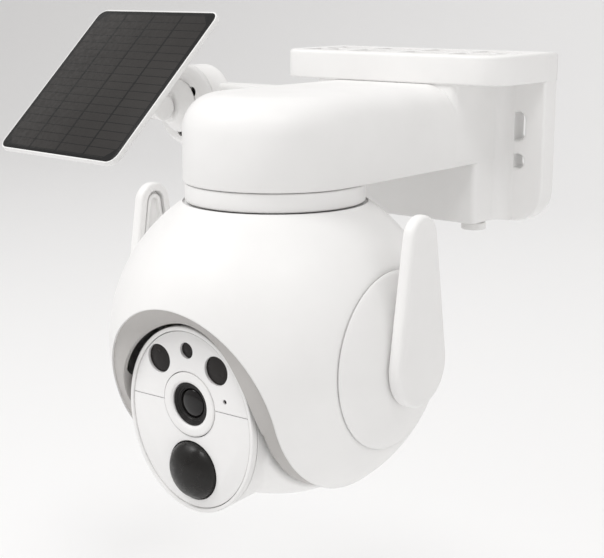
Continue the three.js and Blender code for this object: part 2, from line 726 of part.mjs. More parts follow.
const bezelWidth = 1.6;
function headBezel() {
  const outer = prism(headOval(0), "y", -head.face - 0.4, faceBack, 16);
  return cut(outer, prism(headOval(bezelWidth), "y", -head.face - 2, faceBack + 1, 16));
}

function facePlate(upper) {
  const sheet = prism(headOval(bezelWidth + GAP), "y", -head.face, faceBack - 0.1, 20);
  const [low, high] = upper ? [-lens.drop + GAP / 2, 40] : [-80, -lens.drop - GAP / 2];
  const half = block(-40, 40, -80, 0, low, high);
  const holes = [rod("y", -70, -40, lens.ring + GAP, 0, -lens.drop, 32)];
  if (upper) {
    holes.push(rod("y", -70, -40, lamp.radius, -lamp.side, lamp.rise, 24));
    holes.push(rod("y", -70, -40, lamp.radius, lamp.side, lamp.rise, 24));
    holes.push(rod("y", -70, -40, daySensor.radius, 0, daySensor.rise, 20));
    holes.push(rod("y", -70, -40, mic.radius, mic.side, -mic.drop, 10));
  } else {
    holes.push(rod("y", -70, -40, pir.radius + GAP, 0, -pir.drop, 28));
  }
  return cut(common(sheet, half), ...holes);
}

const alongY = (body) => body.rotate([90, 0, 0]);
const windowBack = faceBack + 1.8;

// A window stands in its hole in the face, on a flange behind the plate.
function windowDisc(radius, x, z) {
  const inside = headOval(WALL + GAP);
  const flange = rod("y", faceBack + 0.2, windowBack, radius + 0.8, x, z, 20);
  const plug = rod("y", -head.face + 0.9, windowBack, radius - GAP, x, z, 20);
  return common(join(flange, plug), prism(inside, "y", -60, -40, 20));
}

function lensRing() {
  const f = head.face;
  const bore = lens.barrel + GAP;
  const profile = [
    [bore, 44], [lens.ring - 2, 44], [lens.ring - 2, 47], [lens.ring, 47], [lens.ring, f],
    [lens.ring - 0.5, f + 0.5], [lens.barrel + 1, f + 0.5], [bore, f - 0.2], [bore, 44],
  ];
  return alongY(turned(profile, 24)).translate([0, 0, -lens.drop]);
}

function lensBarrel() {
  const f = lens.front;
  const profile = [
    [0, 31], [7, 31], [7, 40], [lens.barrel, 40], [lens.barrel, f], [lens.glass + 1.6, f],
    [lens.glass + GAP, f - 1.2], [lens.glass + GAP, f - lens.seat], [0, f - lens.seat],
  ];
  return alongY(turned(profile, 24)).translate([0, 0, -lens.drop]);
}

function lensGlass() {
  const f = lens.front - lens.seat + GAP;
  const crown = [];
  for (let i = 0; i <= 3; i++) {
    const angle = (Math.PI / 2) * (1 - i / 3);
    crown.push([lens.glass * Math.cos(angle), f + 1 + 1.6 * Math.sin(angle)]);
  }
  return alongY(turned([...crown, [lens.glass, f], [0, f]], 20)).translate([0, 0, -lens.drop]);
}

function pirDome() {
  const f = head.face;
  const profile = [];
  for (let i = 0; i <= 5; i++) {
    const angle = (Math.PI / 2) * (1 - i / 5);
    profile.push([pir.radius * Math.cos(angle), f - 1 + (pir.rise + 1) * Math.sin(angle)]);
  }
  profile.push([pir.radius, f - 3.4], [pir.radius - 1.4, f - 3.4]);
  for (let i = 0; i <= 3; i++) {
    const angle = (Math.PI / 2) * (i / 3);
    profile.push([(pir.radius - 1.4) * Math.cos(angle), f - 1 + (pir.rise - 0.4) * Math.sin(angle)]);
  }
  return alongY(turned(profile, 22)).translate([0, 0, -pir.drop]);
}

function pirSensor() {
  const can = rod("y", -47.6, -43.4, 4.1, 0, -pir.drop, 20);
  return join(can, block(-9, 9, -43.5, -42, -pir.drop - 9, -pir.drop + 8));
}

function lampBoard() {
  const sheet = block(-22, 22, windowBack + 1.4, windowBack + 2.8, -5, 12);
  const inside = headOval(WALL + 2 * GAP);
  const lamps = [-1, 1].map((s) =>
    rod("y", windowBack + 0.3, windowBack + 1.5, 2.4, s * lamp.side, lamp.rise, 12));
  const trimmed = common(sheet, prism(inside, "y", -60, 0, 20));
  return cut(join(trimmed, ...lamps), rod("y", -60, -30, lens.ring + 1, 0, -lens.drop, 28));
}

const sensorBoard = () =>
  join(block(-14, 14, -30.6, -29, -26, -1), block(-5, 5, -29.1, -26.5, -24, -16));
const tiltShaft = () => rod("x", -shaft.half, shaft.half, shaft.radius, 0, 0, 20);

// ---------------------------------------------------------------- antennas
function paddleShape(inset) {
  const [r, t] = [paddle.base - inset, paddle.tip - inset];
  const turn = Math.asin((r - t) / paddle.reach);
  const shape = new THREE.Shape();
  shape.absarc(0, 0, r, Math.PI - turn, 2 * Math.PI + turn);
  shape.absarc(0, paddle.reach, t, turn, Math.PI - turn);
  shape.closePath();
  return shape;
}

function antennaShell() {
  const [x0, x1] = [paddle.inner, paddle.inner + paddle.thickness];
  const body = prism(paddleShape(0), "x", x0, x1, 9);
  const pocket = prism(paddleShape(3.6), "x", x0 - 1, x0 + 3.2, 7);
  const pivot = rod("x", x0 - 7.5, x0 + 4, 5, 0, 0, 20);
  return join(cut(body, pocket), pivot);
}

// The insert closes the paddle's inner face: a raised ridge around a shallow recess.
function antennaInsert() {
  const [x0, x1] = [paddle.inner + 0.8, paddle.inner + 2.9];
  const recess = prism(paddleShape(6.8), "x", x0 - 1, x0 + 1.3, 6);
  return cut(prism(paddleShape(4.8), "x", x0, x1, 7), recess, rod("x", x0 - 2, x1 + 2, 5 + GAP, 0, 0, 20));
}

const mirrored = (body) => body.mirror([1, 0, 0]);

// ---------------------------------------------------------------- solar panel and its mount
const padDepth = 13;
const beam = { y0: -28.4, y1: -17.8, z0: -5, z1: 18 };

// The side arm runs from the pillar's right flank to a round pad behind the panel's base disc.
function solarSideArm() {
  const flank = -arm.radius - GAP;
  const run = block(solar.baseX + 2, flank, beam.y0, beam.y1, beam.z0, beam.z1);
  const w = WALL + 0.1;
  const channel = block(solar.baseX + 12, flank - 5, beam.y0 + w, beam.y1 + 5, beam.z0 + w, beam.z1 - w);
  const pad = rod("y", GAP, padDepth, solar.disc, 0, 0, 32)
    .rotate([0, 0, solar.yaw])
    .translate([solar.baseX, solar.baseY, solar.baseZ]);
  return join(cut(run, channel), pad);
}

const discScrew = { turn: [35, 155, 275], reach: 12.8, radius: 1.7, headRadius: 2.2 };

function baseDisc() {
  const d = solar.discDepth;
  const body = join(
    rod("y", -2.4, 0, solar.disc, 0, 0, 24),
    rod("y", -d, -2, solar.face, 0, 0, 24, solar.disc),
  );
  const tools = discScrew.turn.flatMap((turn) => {
    const [x, z] = [discScrew.reach * Math.cos(turn * RAD), discScrew.reach * Math.sin(turn * RAD)];
    return [
      rod("y", -20, 20, discScrew.radius + GAP, x, z, 8),
      rod("y", -20, -d + 2.4, discScrew.headRadius + GAP, x, z, 12),
    ];
  });
  return cut(body, ...tools, rod("y", -20, 20, 5.4, 0, 0, 24));
}

function baseScrew(turn) {
  const [x, z] = [discScrew.reach * Math.cos(turn * RAD), discScrew.reach * Math.sin(turn * RAD)];
  const d = solar.discDepth;
  const top = rod("y", -d + 0.6, -d + 2.1, discScrew.headRadius, x, z, 12);
  const screw = join(top, rod("y", -d + 2, -0.2, discScrew.radius - 0.1, x, z, 8));
  return cut(screw, block(x - 2.2, x + 2.2, -d - 1, -d + 1.4, z - 0.4, z + 0.4));
}

const fork = { gap: 3.1, outer: 5.9, tongue: 2.8, eye: 5.8, room: 7.4 };
const pin = { radius: 2, start: -5.4, end: 4.3 };
const flangeDepth = 2.8;

// The hub turns on the disc about Y and rises into the tongue that the stem's fork straddles.
function solarHub() {
  const d = solar.discDepth;
  const cone = rod("y", -d - 7.2, -d - GAP, 8.4, 0, 0, 24, 13.5);
  const spigot = rod("y", -d - 1, -1, 5, 0, 0, 24);
  const tongue = join(
    rod("x", -fork.tongue, fork.tongue, fork.eye, -solar.knuckle, 0, 20),
    block(-fork.tongue, fork.tongue, -solar.knuckle, -d - 3, -fork.eye + 0.2, fork.eye - 0.2),
  );
  return cut(join(cone, spigot, tongue), rod("x", -20, 20, pin.radius + GAP, -solar.knuckle, 0, 16));
}

const hingePin = () => rod("x", pin.start, pin.end, pin.radius, -solar.knuckle, 0, 16);

// The stem in its own frame: a round-ended fork on the hinge pin, then a round bar with a flange on the panel.
function solarStem() {
  const x = fork.outer;
  const eye = rod("x", -x, x, stem.radius, 0, 0, 24);
  const bar = common(rod("y", -stem.length, 0, stem.radius, 0, 0, 20), block(-x, x, -90, 90, -90, 90));
  const onPanel = (body) => body.rotate([stem.rise - panel.lean, 0, 0]).translate([0, -stem.length, 0]);
  const flange = onPanel(rod("y", -flangeDepth, 0.2, 10, 0, 0, 32));
  const past = onPanel(block(-30, 30, -60, -flangeDepth, -60, 60));
  const slot = join(
    rod("x", -fork.gap, fork.gap, fork.room, 0, 0, 20),
    block(-fork.gap, fork.gap, 0, 20, -9, 9),
  );
  const pinHole = rod("x", -20, pin.end + GAP, pin.radius + GAP, 0, 0, 16);
  return cut(join(eye, bar, flange), past, slot, pinHole);
}

// The panel in its own frame looks along -Y; the origin is where the stem meets its back.
const panelBack = -panel.standoff + panel.thickness;
function panelSocket() {
  const [start, end] = [flangeDepth + GAP, -panelBack - GAP];
  return turned([[0, start], [12.5, start], [14, end], [0, end]], 32).rotate([90, 0, 0]);
}

const panelSeat = 1.7;
function panelTray() {
  const face = -panel.standoff;
  const outer = prism(roundedRect(panel.size, panel.size, panel.corner), "y", face, panelBack, 5);
  const seat = roundedRect(panel.glass + 2 * GAP, panel.glass + 2 * GAP, panel.corner - 1.5);
  return cut(outer, prism(seat, "y", face - 1, face + panelSeat, 5));
}

function panelGlass() {
  const shape = roundedRect(panel.glass, panel.glass, panel.corner - 1.8);
  return prism(shape, "y", -panel.standoff - 0.1, -panel.standoff + panelSeat - GAP, 5);
}

// ---------------------------------------------------------------- assembly
piece(camera, "bracket_housing", bracketHousing(), "white");
piece(camera, "arm_cover", armCover(), "white");
piece(camera, "pan_collar", panCollar().translate([0, panY, 0]), "white");
piece(camera, "pan_bearing", panBearing(), "steel");
piece(camera, "pan_motor", panMotor(), "steel");
piece(camera, "pan_pinion", panPinion(), "gearNylon");
piece(camera, "cable_grommet", cableGrommet().translate([inlet.x, inlet.y, -plateTop]), "rubber");
piece(camera, "solar_side_arm", solarSideArm(), "white");

piece(globeFrame, "pan_gear", panWheel().translate([0, 0, -globe.centreZ]), "gearNylon");
piece(globeFrame, "pan_neck", panNeck(), "gearNylon");
piece(globeFrame, "globe_shell", globeShell(), "white");
piece(globeFrame, "recess_liner", recessLiner(), "liner");
piece(globeFrame, "globe_rear_cover", rearCover(), "white");
piece(globeFrame, "side_cap_left", sideCap(1), "white");
piece(globeFrame, "side_cap_right", sideCap(-1), "white");
piece(globeFrame, "port_flap", portFlap(), "rubber");
piece(globeFrame, "power_button", pushButton(control.radius, control.power), "rubber");
piece(globeFrame, "reset_button", pushButton(control.resetRadius, control.reset), "rubber");
piece(globeFrame, "control_board", controlBoard(), "board");
piece(globeFrame, "chassis", chassis(), "gearNylon");
piece(globeFrame, "main_board", mainBoard(), "board");
cells.forEach((place, i) => piece(globeFrame, `battery_cell_${i + 1}`, batteryCell(place), "cellWrap"));
piece(globeFrame, "battery_cradle", batteryCradle(), "gearNylon");
piece(globeFrame, "speaker", speaker(), "lensBlack");
piece(globeFrame, "tilt_motor", tiltMotorBody(), "steel");
piece(globeFrame, "tilt_pinion", tiltPinion(), "gearNylon");

piece(headFrame, "tilt_gear", tiltWheel(), "gearNylon");
piece(headFrame, "tilt_shaft", tiltShaft(), "steel");
piece(headFrame, "head_housing", headHousing(), "white");
piece(headFrame, "head_bezel", headBezel(), "white");
piece(headFrame, "face_plate_upper", facePlate(true), "faceWhite");
piece(headFrame, "face_plate_lower", facePlate(false), "faceWhite");
piece(headFrame, "lamp_window_left", windowDisc(lamp.radius, lamp.side, lamp.rise), "smokedGlass");
piece(headFrame, "lamp_window_right", windowDisc(lamp.radius, -lamp.side, lamp.rise), "smokedGlass");
piece(headFrame, "day_sensor_window", windowDisc(daySensor.radius, 0, daySensor.rise), "smokedGlass");
piece(headFrame, "lamp_board", lampBoard(), "board");
piece(headFrame, "lens_ring", lensRing(), "white");
piece(headFrame, "lens_barrel", lensBarrel(), "lensBlack");
piece(headFrame, "lens_glass", lensGlass(), "clearGlass");
piece(headFrame, "sensor_board", sensorBoard(), "board");
piece(headFrame, "pir_dome", pirDome(), "smokedGlass");
piece(headFrame, "pir_sensor", pirSensor(), "steel");

piece(globeFrame, "antenna_left", antennaShell(), "white");
piece(globeFrame, "antenna_left_insert", antennaInsert(), "white");
piece(globeFrame, "antenna_right", mirrored(antennaShell()), "white");
piece(globeFrame, "antenna_right_insert", mirrored(antennaInsert()), "white");

piece(solarFrame, "solar_base_disc", baseDisc(), "white");
discScrew.turn.forEach((turn, i) => piece(solarFrame, `solar_base_screw_${i + 1}`, baseScrew(turn), "steel"));
piece(solarFrame, "solar_hub", solarHub(), "white");
piece(solarFrame, "solar_hinge_pin", hingePin(), "steel");
piece(stemFrame, "solar_stem", solarStem(), "white");
piece(panelFrame, "panel_socket", panelSocket(), "white");
piece(panelFrame, "panel_tray", panelTray(), "white");
piece(panelFrame, "panel_glass", panelGlass(), "solarGlass");

export default camera;
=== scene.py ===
"""Looks of the solar pan-and-tilt security camera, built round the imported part.

The scene is in metres. The sizes below are in millimetres, and MM turns them into metres.
"""

import math

import bmesh
import bpy
from mathutils import Matrix, Vector


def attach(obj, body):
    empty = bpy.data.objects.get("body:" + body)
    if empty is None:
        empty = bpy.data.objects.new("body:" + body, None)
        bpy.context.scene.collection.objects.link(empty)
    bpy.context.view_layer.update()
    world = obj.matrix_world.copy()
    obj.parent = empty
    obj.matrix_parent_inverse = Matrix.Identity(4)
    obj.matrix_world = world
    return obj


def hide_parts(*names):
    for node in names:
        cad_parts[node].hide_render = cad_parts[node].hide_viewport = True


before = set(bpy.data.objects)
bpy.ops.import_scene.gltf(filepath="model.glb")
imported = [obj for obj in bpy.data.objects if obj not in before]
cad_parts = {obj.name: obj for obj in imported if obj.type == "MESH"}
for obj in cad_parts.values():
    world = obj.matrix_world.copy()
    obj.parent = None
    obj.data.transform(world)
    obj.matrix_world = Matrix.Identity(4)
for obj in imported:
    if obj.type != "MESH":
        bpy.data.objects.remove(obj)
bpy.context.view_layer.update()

# ---------------------------------------------------------------- driving dimensions, as in the part, in mm
MM = 0.001
GAP = 0.3
WALL = 2.4
BRACKET = {"width": 116.4, "height": 74.4, "depth": 50.2, "roof": 12.4, "plate": 10.3, "corner": 14}
WALL_HOLE = {"side": 45.4, "width": 6.6, "slot_top": 11.3, "slot_bottom": -1.3, "low": -10.4}
ROOF_HOLE = {"side": 45, "y": -26, "radius": 2.6, "boss": 5.5}
ROOF_POCKET = {"columns": 4, "rows": 2, "pitch_x": 26, "pitch_y": 19, "half_x": 11, "half_y": 7.5, "depth": 7}
ARM = {"radius": 36.7, "reach": 123.5, "top": 24.6, "bottom": -10.2, "round": 14.5, "pillar_depth": 30.8}
COLLAR = {"radius": 36, "height": 7.5}
GLOBE = {"radius": 67.35, "centre_z": -74.2, "seam": 57.2, "rear_seam": 48, "neck_hole": 37, "pole": 65.8}
MOUTH = {"radius": 40.5, "centre_z": -18, "end": 130}
LINER_LIP = {"half_width": 34.2, "centre_z": -22.7, "height": 38.6, "side_reach": 54, "top_reach": 57.3}
HEAD = {"lean": 3, "face": 53, "half_width": 31.6, "half_height": 37.2, "drop": 20,
        "ball": 63.6, "slab": 31, "end": 125}
LENS = {"drop": 13.5, "ring": 12.8, "barrel": 8.5, "glass": 5.6, "front": 52.4, "seat": 3}
PIR = {"drop": 40.3, "radius": 11.7, "rise": 6}
LAMP = {"side": 14.6, "rise": 2.5, "radius": 5.7}
DAY_SENSOR = {"rise": 8, "radius": 3.2}
MIC = {"side": 18.2, "drop": 9, "radius": 0.9}
PADDLE = {"inner": 66.4, "thickness": 5.4, "base": 16.4, "tip": 8.6, "reach": 48.5}
SOLAR = {"x": -132, "y": -32, "z": 6.6, "yaw": -7, "disc": 20, "face": 16.8, "depth": 6, "knuckle": 20}
STEM = {"length": 22.2, "rise": 13.7, "radius": 6.2}
FORK = {"gap": 3.1, "outer": 5.9, "tongue": 2.8, "eye": 5.8, "room": 7.4, "flange": 2.8}
PIN = {"radius": 2, "start": -5.4, "end": 4.3}
PANEL = {"lean": 45, "standoff": 12.8, "size": 92.6, "glass": 90.6, "thickness": 2.8,
         "corner": 6, "seat": 1.7}
INLET = {"x": 30.5, "y": -21, "radius": 4.2, "lip": 3.6}
SEAM = 0.5  # the dark lines round the side caps, a little wider than their running gap
APART = 0.04  # keeps the roof's back and the pillar's foot out of the wall plate's own faces

PLATE_TOP = BRACKET["height"] / 2
HALF_PLATE = BRACKET["width"] / 2
PAN_Y = -ARM["reach"]
COLLAR_LOW = ARM["bottom"] - COLLAR["height"]
FACE_BACK = -HEAD["face"] + 2.2
BEZEL = 1.6

# ---------------------------------------------------------------- frames of the sub-assemblies


def shift(x, y, z):
    return Matrix.Translation((x * MM, y * MM, z * MM))


def turn(degrees, axis):
    return Matrix.Rotation(math.radians(degrees), 4, axis)


ROW = Matrix.Identity(4)
PAN = shift(0, PAN_Y, 0)
GLOBE_AT = shift(0, PAN_Y, GLOBE["centre_z"])
HEAD_AT = GLOBE_AT @ turn(HEAD["lean"], "X")
SOLAR_AT = shift(SOLAR["x"], SOLAR["y"], SOLAR["z"]) @ turn(SOLAR["yaw"], "Z")
STEM_AT = SOLAR_AT @ shift(0, -SOLAR["knuckle"], 0) @ turn(-STEM["rise"], "X")
PANEL_AT = STEM_AT @ shift(0, -STEM["length"], 0) @ turn(STEM["rise"] - PANEL["lean"], "X")

# ---------------------------------------------------------------- outlines: (u, v) points inset from the edge


def arc(cu, cv, radius, start, end, steps):
    """Points on a circle from one angle to another, in degrees."""
    angles = [math.radians(start + (end - start) * i / steps) for i in range(steps + 1)]
    return [(cu + radius * math.cos(a), cv + radius * math.sin(a)) for a in angles]


def circle(radius, cu=0, cv=0, steps=96):
    return lambda inset: arc(cu, cv, radius - inset, 0, 360 * (steps - 1) / steps, steps - 1)


def ellipse(half_u, half_v, cv=0, steps=160):
    def outline(inset):
        angles = [2 * math.pi * i / steps for i in range(steps)]
        return [((half_u - inset) * math.cos(a), cv + (half_v - inset) * math.sin(a)) for a in angles]
    return outline


def rounded_rect(half_u, half_v, radius, cu=0, cv=0, steps=10):
    def outline(inset):
        r = max(radius - inset, 0.05)
        u, v = half_u - inset - r, half_v - inset - r
        corners = [(u, v, 0), (-u, v, 90), (-u, -v, 180), (u, -v, 270)]
        return [p for a, b, at in corners for p in arc(cu + a, cv + b, r, at, at + 90, steps)]
    return outline


def roof_outline(inset):
    r = BRACKET["corner"] - inset
    u, v = HALF_PLATE - inset - r, -BRACKET["depth"] + inset + r
    back = -inset - APART
    return [(HALF_PLATE - inset, back), (-HALF_PLATE + inset, back),
            *arc(-u, v, r, 180, 270, 14), *arc(u, v, r, 270, 360, 14)]


def plate_outline(inset):
    r = BRACKET["corner"] - inset
    side, top = HALF_PLATE - 0.03 - inset, PLATE_TOP - 2
    u, v = side - r, -PLATE_TOP + inset + r
    return [(side, top), (-side, top), *arc(-u, v, r, 180, 270, 14), *arc(u, v, r, 270, 360, 14)]


def arm_outline(back):
    def outline(inset):
        r = ARM["radius"] - inset
        return [(r, back), (-r, back), *arc(0, PAN_Y, r, 180, 360, 64)]
    return outline


def pillar_outline(front):
    """Parallel flanks that flare into the wall plate through a concave round."""
    flare = 7

    def outline(inset):
        r, back = ARM["radius"] - inset - 0.05, -BRACKET["plate"] - flare
        corner = 3
        return [*arc(r - corner, front + corner + inset, corner, 270, 360, 6),
                *arc(r + flare, back, flare, 180, 90, 10), (r + flare, -2), (-r - flare, -2),
                *arc(-r - flare, back, flare, 90, 0, 10),
                *arc(-r + corner, front + corner + inset, corner, 180, 270, 6)]
    return outline


def paddle_outline(inset):
    """The antenna's teardrop: a large round at the pivot and a small one at the tip."""
    big, small = PADDLE["base"] - inset, PADDLE["tip"] - inset
    lean = math.degrees(math.asin((big - small) / PADDLE["reach"]))
    return arc(0, 0, big, 180 - lean, 360 + lean, 40) + arc(0, PADDLE["reach"], small, lean, 180 - lean, 32)


# ---------------------------------------------------------------- meshes

AXES = {"z": lambda u, v, h: (u, v, h), "y": lambda u, v, h: (u, h, v), "x": lambda u, v, h: (h, u, v)}


def mesh_object(name, points, faces):
    mesh = bpy.data.meshes.new(name)
    mesh.from_pydata([Vector(p) * MM for p in points], [], faces)
    bm = bmesh.new()
    bm.from_mesh(mesh)
    bmesh.ops.remove_doubles(bm, verts=bm.verts, dist=1e-7)
    bmesh.ops.dissolve_degenerate(bm, edges=bm.edges, dist=1e-7)
    bmesh.ops.recalc_face_normals(bm, faces=bm.faces)
    bm.to_mesh(mesh)
    bm.free()
    obj = bpy.data.objects.new(name, mesh)
    bpy.context.scene.collection.objects.link(obj)
    return obj


def loft(name, loops, closed=False):
    """A skin over loops of equally many points, ended by two flat caps or joined to its own start."""
    n, rows = len(loops[0]), len(loops)
    faces = []
    for i in range(rows if closed else rows - 1):
        a, b = i * n, ((i + 1) % rows) * n
        faces += [(a + k, a + (k + 1) % n, b + (k + 1) % n, b + k) for k in range(n)]
    if not closed:
        faces += [tuple(range(n)), tuple(range((rows - 1) * n, rows * n))]
    return mesh_object(name, [p for loop in loops for p in loop], faces)


def slab(name, outline, axis, stations, closed=False):
    """An outline swept along an axis; each station is (inset, height)."""
    place = AXES[axis]
    return loft(name, [[place(u, v, h) for u, v in outline(inset)] for inset, h in stations], closed)


def rounded(low, high, radius, top_radius=None, steps=5):
    """Stations of a slab whose two rims are quarter rounds."""
    top = radius if top_radius is None else top_radius
    quarter = [math.pi / 2 * i / steps for i in range(steps + 1)]
    lower = [(radius * (1 - math.sin(a)), low + radius * (1 - math.cos(a))) for a in quarter]
    upper = [(top * (1 - math.cos(a)), high - top * (1 - math.sin(a))) for a in quarter]
    return lower + upper


def lathe(name, profile, axis="z", steps=128):
    """A closed profile of (radius, height) points turned about an axis through the local origin."""
    place = AXES[axis]
    turns = [2 * math.pi * i / steps for i in range(steps)]
    return loft(name, [[place(r * math.cos(t), r * math.sin(t), h) for r, h in profile] for t in turns], True)


def round_profile(points, radius, steps=4):
    """A closed profile with the corners marked by a third value of True rounded off."""
    result = []
    for i, point in enumerate(points):
        here = Vector(point[:2])
        if len(point) < 3:
            result.append(tuple(here))
            continue
        before = Vector(points[i - 1][:2]) - here
        after = Vector(points[(i + 1) % len(points)][:2]) - here
        reach = min(radius, before.length / 2, after.length / 2)
        a, b = here + before.normalized() * reach, here + after.normalized() * reach
        for k in range(steps + 1):
            t = k / steps
            result.append(tuple(a * (1 - t) ** 2 + here * 2 * t * (1 - t) + b * t * t))
    return result


def evaluated(obj):
    """Replaces the object's mesh by what its modifiers make of it."""
    bpy.context.view_layer.update()
    graph = bpy.context.evaluated_depsgraph_get()
    mesh = bpy.data.meshes.new_from_object(obj.evaluated_get(graph))
    obj.modifiers.clear()
    obj.data = mesh
    return obj


def combined(obj, tools, operation):
    for tool in tools:
        modifier = obj.modifiers.new("combine", "BOOLEAN")
        modifier.operation, modifier.object, modifier.solver = operation, tool, "EXACT"
        evaluated(obj)
        bpy.data.objects.remove(tool)
    return obj


def cut(obj, *tools):
    return combined(obj, tools, "DIFFERENCE")


def common(obj, *tools):
    return combined(obj, tools, "INTERSECT")


def gathered(name, *objs):
    """One object of several closed skins in the same local frame."""
    bm = bmesh.new()
    for obj in objs:
        bm.from_mesh(obj.data)
        bpy.data.objects.remove(obj)
    mesh = bpy.data.meshes.new(name)
    bm.to_mesh(mesh)
    bm.free()
    obj = bpy.data.objects.new(name, mesh)
    bpy.context.scene.collection.objects.link(obj)
    return obj


def melted(obj, voxel, smoothing):
    """Merges the object's skins and softens every edge and crease."""
    remesh = obj.modifiers.new("remesh", "REMESH")
    remesh.mode, remesh.voxel_size = "VOXEL", voxel * MM
    smooth = obj.modifiers.new("smooth", "SMOOTH")
    smooth.factor, smooth.iterations = 0.5, smoothing
    return evaluated(obj)


def sliced(obj, point, outwards, closed=True):
    """Cuts off what lies beyond a plane through a point, and closes the cut or leaves it open."""
    bm = bmesh.new()
    bm.from_mesh(obj.data)
    geometry = [*bm.verts, *bm.edges, *bm.faces]
    made = bmesh.ops.bisect_plane(bm, geom=geometry, plane_co=Vector(point) * MM, plane_no=outwards,
                                  clear_outer=True)
    if closed:
        edges = [item for item in made["geom_cut"] if isinstance(item, bmesh.types.BMEdge)]
        bmesh.ops.holes_fill(bm, edges=edges)
        bmesh.ops.recalc_face_normals(bm, faces=bm.faces)
    bm.to_mesh(obj.data)
    bm.free()
    return obj


def block(x0, x1, y0, y1, z0, z1, soft=0.0):
    outline = rounded_rect((x1 - x0) / 2, (y1 - y0) / 2, max(soft, 0.05), (x0 + x1) / 2, (y0 + y1) / 2, 3)
    stations = rounded(z0, z1, soft, steps=3) if soft else [(0, z0), (0, z1)]
    return slab("block", outline, "z", stations)


def rod(axis, low, high, radius, u=0, v=0, steps=48, soft=0.0):
    stations = rounded(low, high, soft, steps=3) if soft else [(0, low), (0, high)]
    return slab("rod", circle(radius, u, v, steps), axis, stations)


def ball(radius, steps=128):
    profile = [(radius * math.sin(a), radius * math.cos(a)) for a in (math.pi * i / 64 for i in range(65))]
    return lathe("ball", profile, "z", steps)


def piece(obj, name, body, matrix, material, replaces=(), sharp=38, own_axes=False):
    """Puts a finished mesh in its place, on its body, in its material.

    own_axes keeps the mesh in its own frame, for a material drawn along those axes.
    """
    obj.name = obj.data.name = name
    if own_axes:
        obj.matrix_world = matrix
    else:
        obj.data.transform(matrix)
    obj.data.shade_smooth()
    obj.data.set_sharp_from_angle(angle=math.radians(sharp))
    obj.data.materials.clear()
    obj.data.materials.append(material)
    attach(obj, body)
    if replaces:
        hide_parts(*replaces)
    return obj


# ---------------------------------------------------------------- materials


def new_material(name, colour, roughness):
    material = bpy.data.materials.new(name)
    material.use_nodes = True
    tree = material.node_tree
    shader = tree.nodes["Principled BSDF"]
    shader.inputs["Base Color"].default_value = (*colour, 1)
    shader.inputs["Roughness"].default_value = roughness
    return material, tree, shader


def node(tree, kind, **inputs):
    made = tree.nodes.new(kind)
    for key, value in inputs.items():
        made.inputs[key.replace("_", " ")].default_value = value
    return made


def object_place(tree):
    return tree.nodes.new("ShaderNodeTexCoord").outputs["Object"]


def noise(tree, scale, detail=3.0, roughness=0.5):
    made = node(tree, "ShaderNodeTexNoise", Scale=scale, Detail=detail, Roughness=roughness)
    tree.links.new(object_place(tree), made.inputs["Vector"])
    return made.outputs["Fac"]


def ramp(tree, source, low, high, start=0.35, end=0.65):
    """Maps a 0 to 1 signal onto a range between two values."""
    made = node(tree, "ShaderNodeMapRange")
    made.inputs["From Min"].default_value = start
    made.inputs["From Max"].default_value = end
    made.inputs["To Min"].default_value = low
    made.inputs["To Max"].default_value = high
    tree.links.new(source, made.inputs["Value"])
    return made.outputs["Result"]


def tint(tree, source, low, high):
    """Mixes two colours by a 0 to 1 signal. The first may be a colour signal itself."""
    made = tree.nodes.new("ShaderNodeMix")
    made.data_type = "RGBA"
    if isinstance(low, tuple):
        made.inputs["A"].default_value = (*low, 1)
    else:
        tree.links.new(low, made.inputs["A"])
    made.inputs["B"].default_value = (*high, 1)
    tree.links.new(source, made.inputs["Factor"])
    return made.outputs["Result"]


def bumped(tree, shader, source, strength, distance, edge=0.0):
    """Bump on the shader's normal, over edges rounded by a small radius."""
    bump = node(tree, "ShaderNodeBump", Strength=strength, Distance=distance)
    tree.links.new(source, bump.inputs["Height"])
    if edge:
        bevel = node(tree, "ShaderNodeBevel", Radius=edge)
        bevel.samples = 6
        tree.links.new(bevel.outputs["Normal"], bump.inputs["Normal"])
    tree.links.new(bump.outputs["Normal"], shader.inputs["Normal"])


def plastic(name, colour, roughness, grain=900, relief=0.00002, edge=0.0006, variation=0.02, shine=0.5):
    """Moulded plastic: a fine spark-eroded grain, slow colour drift and uneven gloss."""
    material, tree, shader = new_material(name, colour, roughness)
    shader.inputs["Specular IOR Level"].default_value = shine
    drift = noise(tree, 22, 4)
    darker = tuple(max(c - variation, 0) for c in colour)
    lighter = tuple(min(c + variation, 1) for c in colour)
    tree.links.new(tint(tree, ramp(tree, drift, 0, 1), darker, lighter), shader.inputs["Base Color"])
    spread = 0.05
    sheen = noise(tree, 160, 3)
    tree.links.new(ramp(tree, sheen, roughness - spread, roughness + spread), shader.inputs["Roughness"])
    bumped(tree, shader, noise(tree, grain, 2), 0.35, relief, edge)
    return material


def metal(name, colour, roughness):
    """Turned steel: fine streaks round the axis and small wear marks."""
    material, tree, shader = new_material(name, colour, roughness)
    shader.inputs["Metallic"].default_value = 1.0
    streaks = noise(tree, 700, 6, 0.7)
    tree.links.new(ramp(tree, streaks, roughness - 0.08, roughness + 0.12), shader.inputs["Roughness"])
    worn = tuple(c * 0.85 for c in colour)
    tree.links.new(tint(tree, noise(tree, 90), worn, colour), shader.inputs["Base Color"])
    bumped(tree, shader, streaks, 0.25, 0.00002)
    return material


def rubber_material(name, colour):
    material, tree, shader = new_material(name, colour, 0.75)
    dust = noise(tree, 60, 5)
    light = tuple(min(c * 1.12, 1) for c in colour)
    tree.links.new(tint(tree, ramp(tree, dust, 0, 1), colour, light), shader.inputs["Base Color"])
    tree.links.new(ramp(tree, dust, 0.68, 0.86), shader.inputs["Roughness"])
    bumped(tree, shader, noise(tree, 1200, 2), 0.5, 0.00003, 0.0003)
    return material


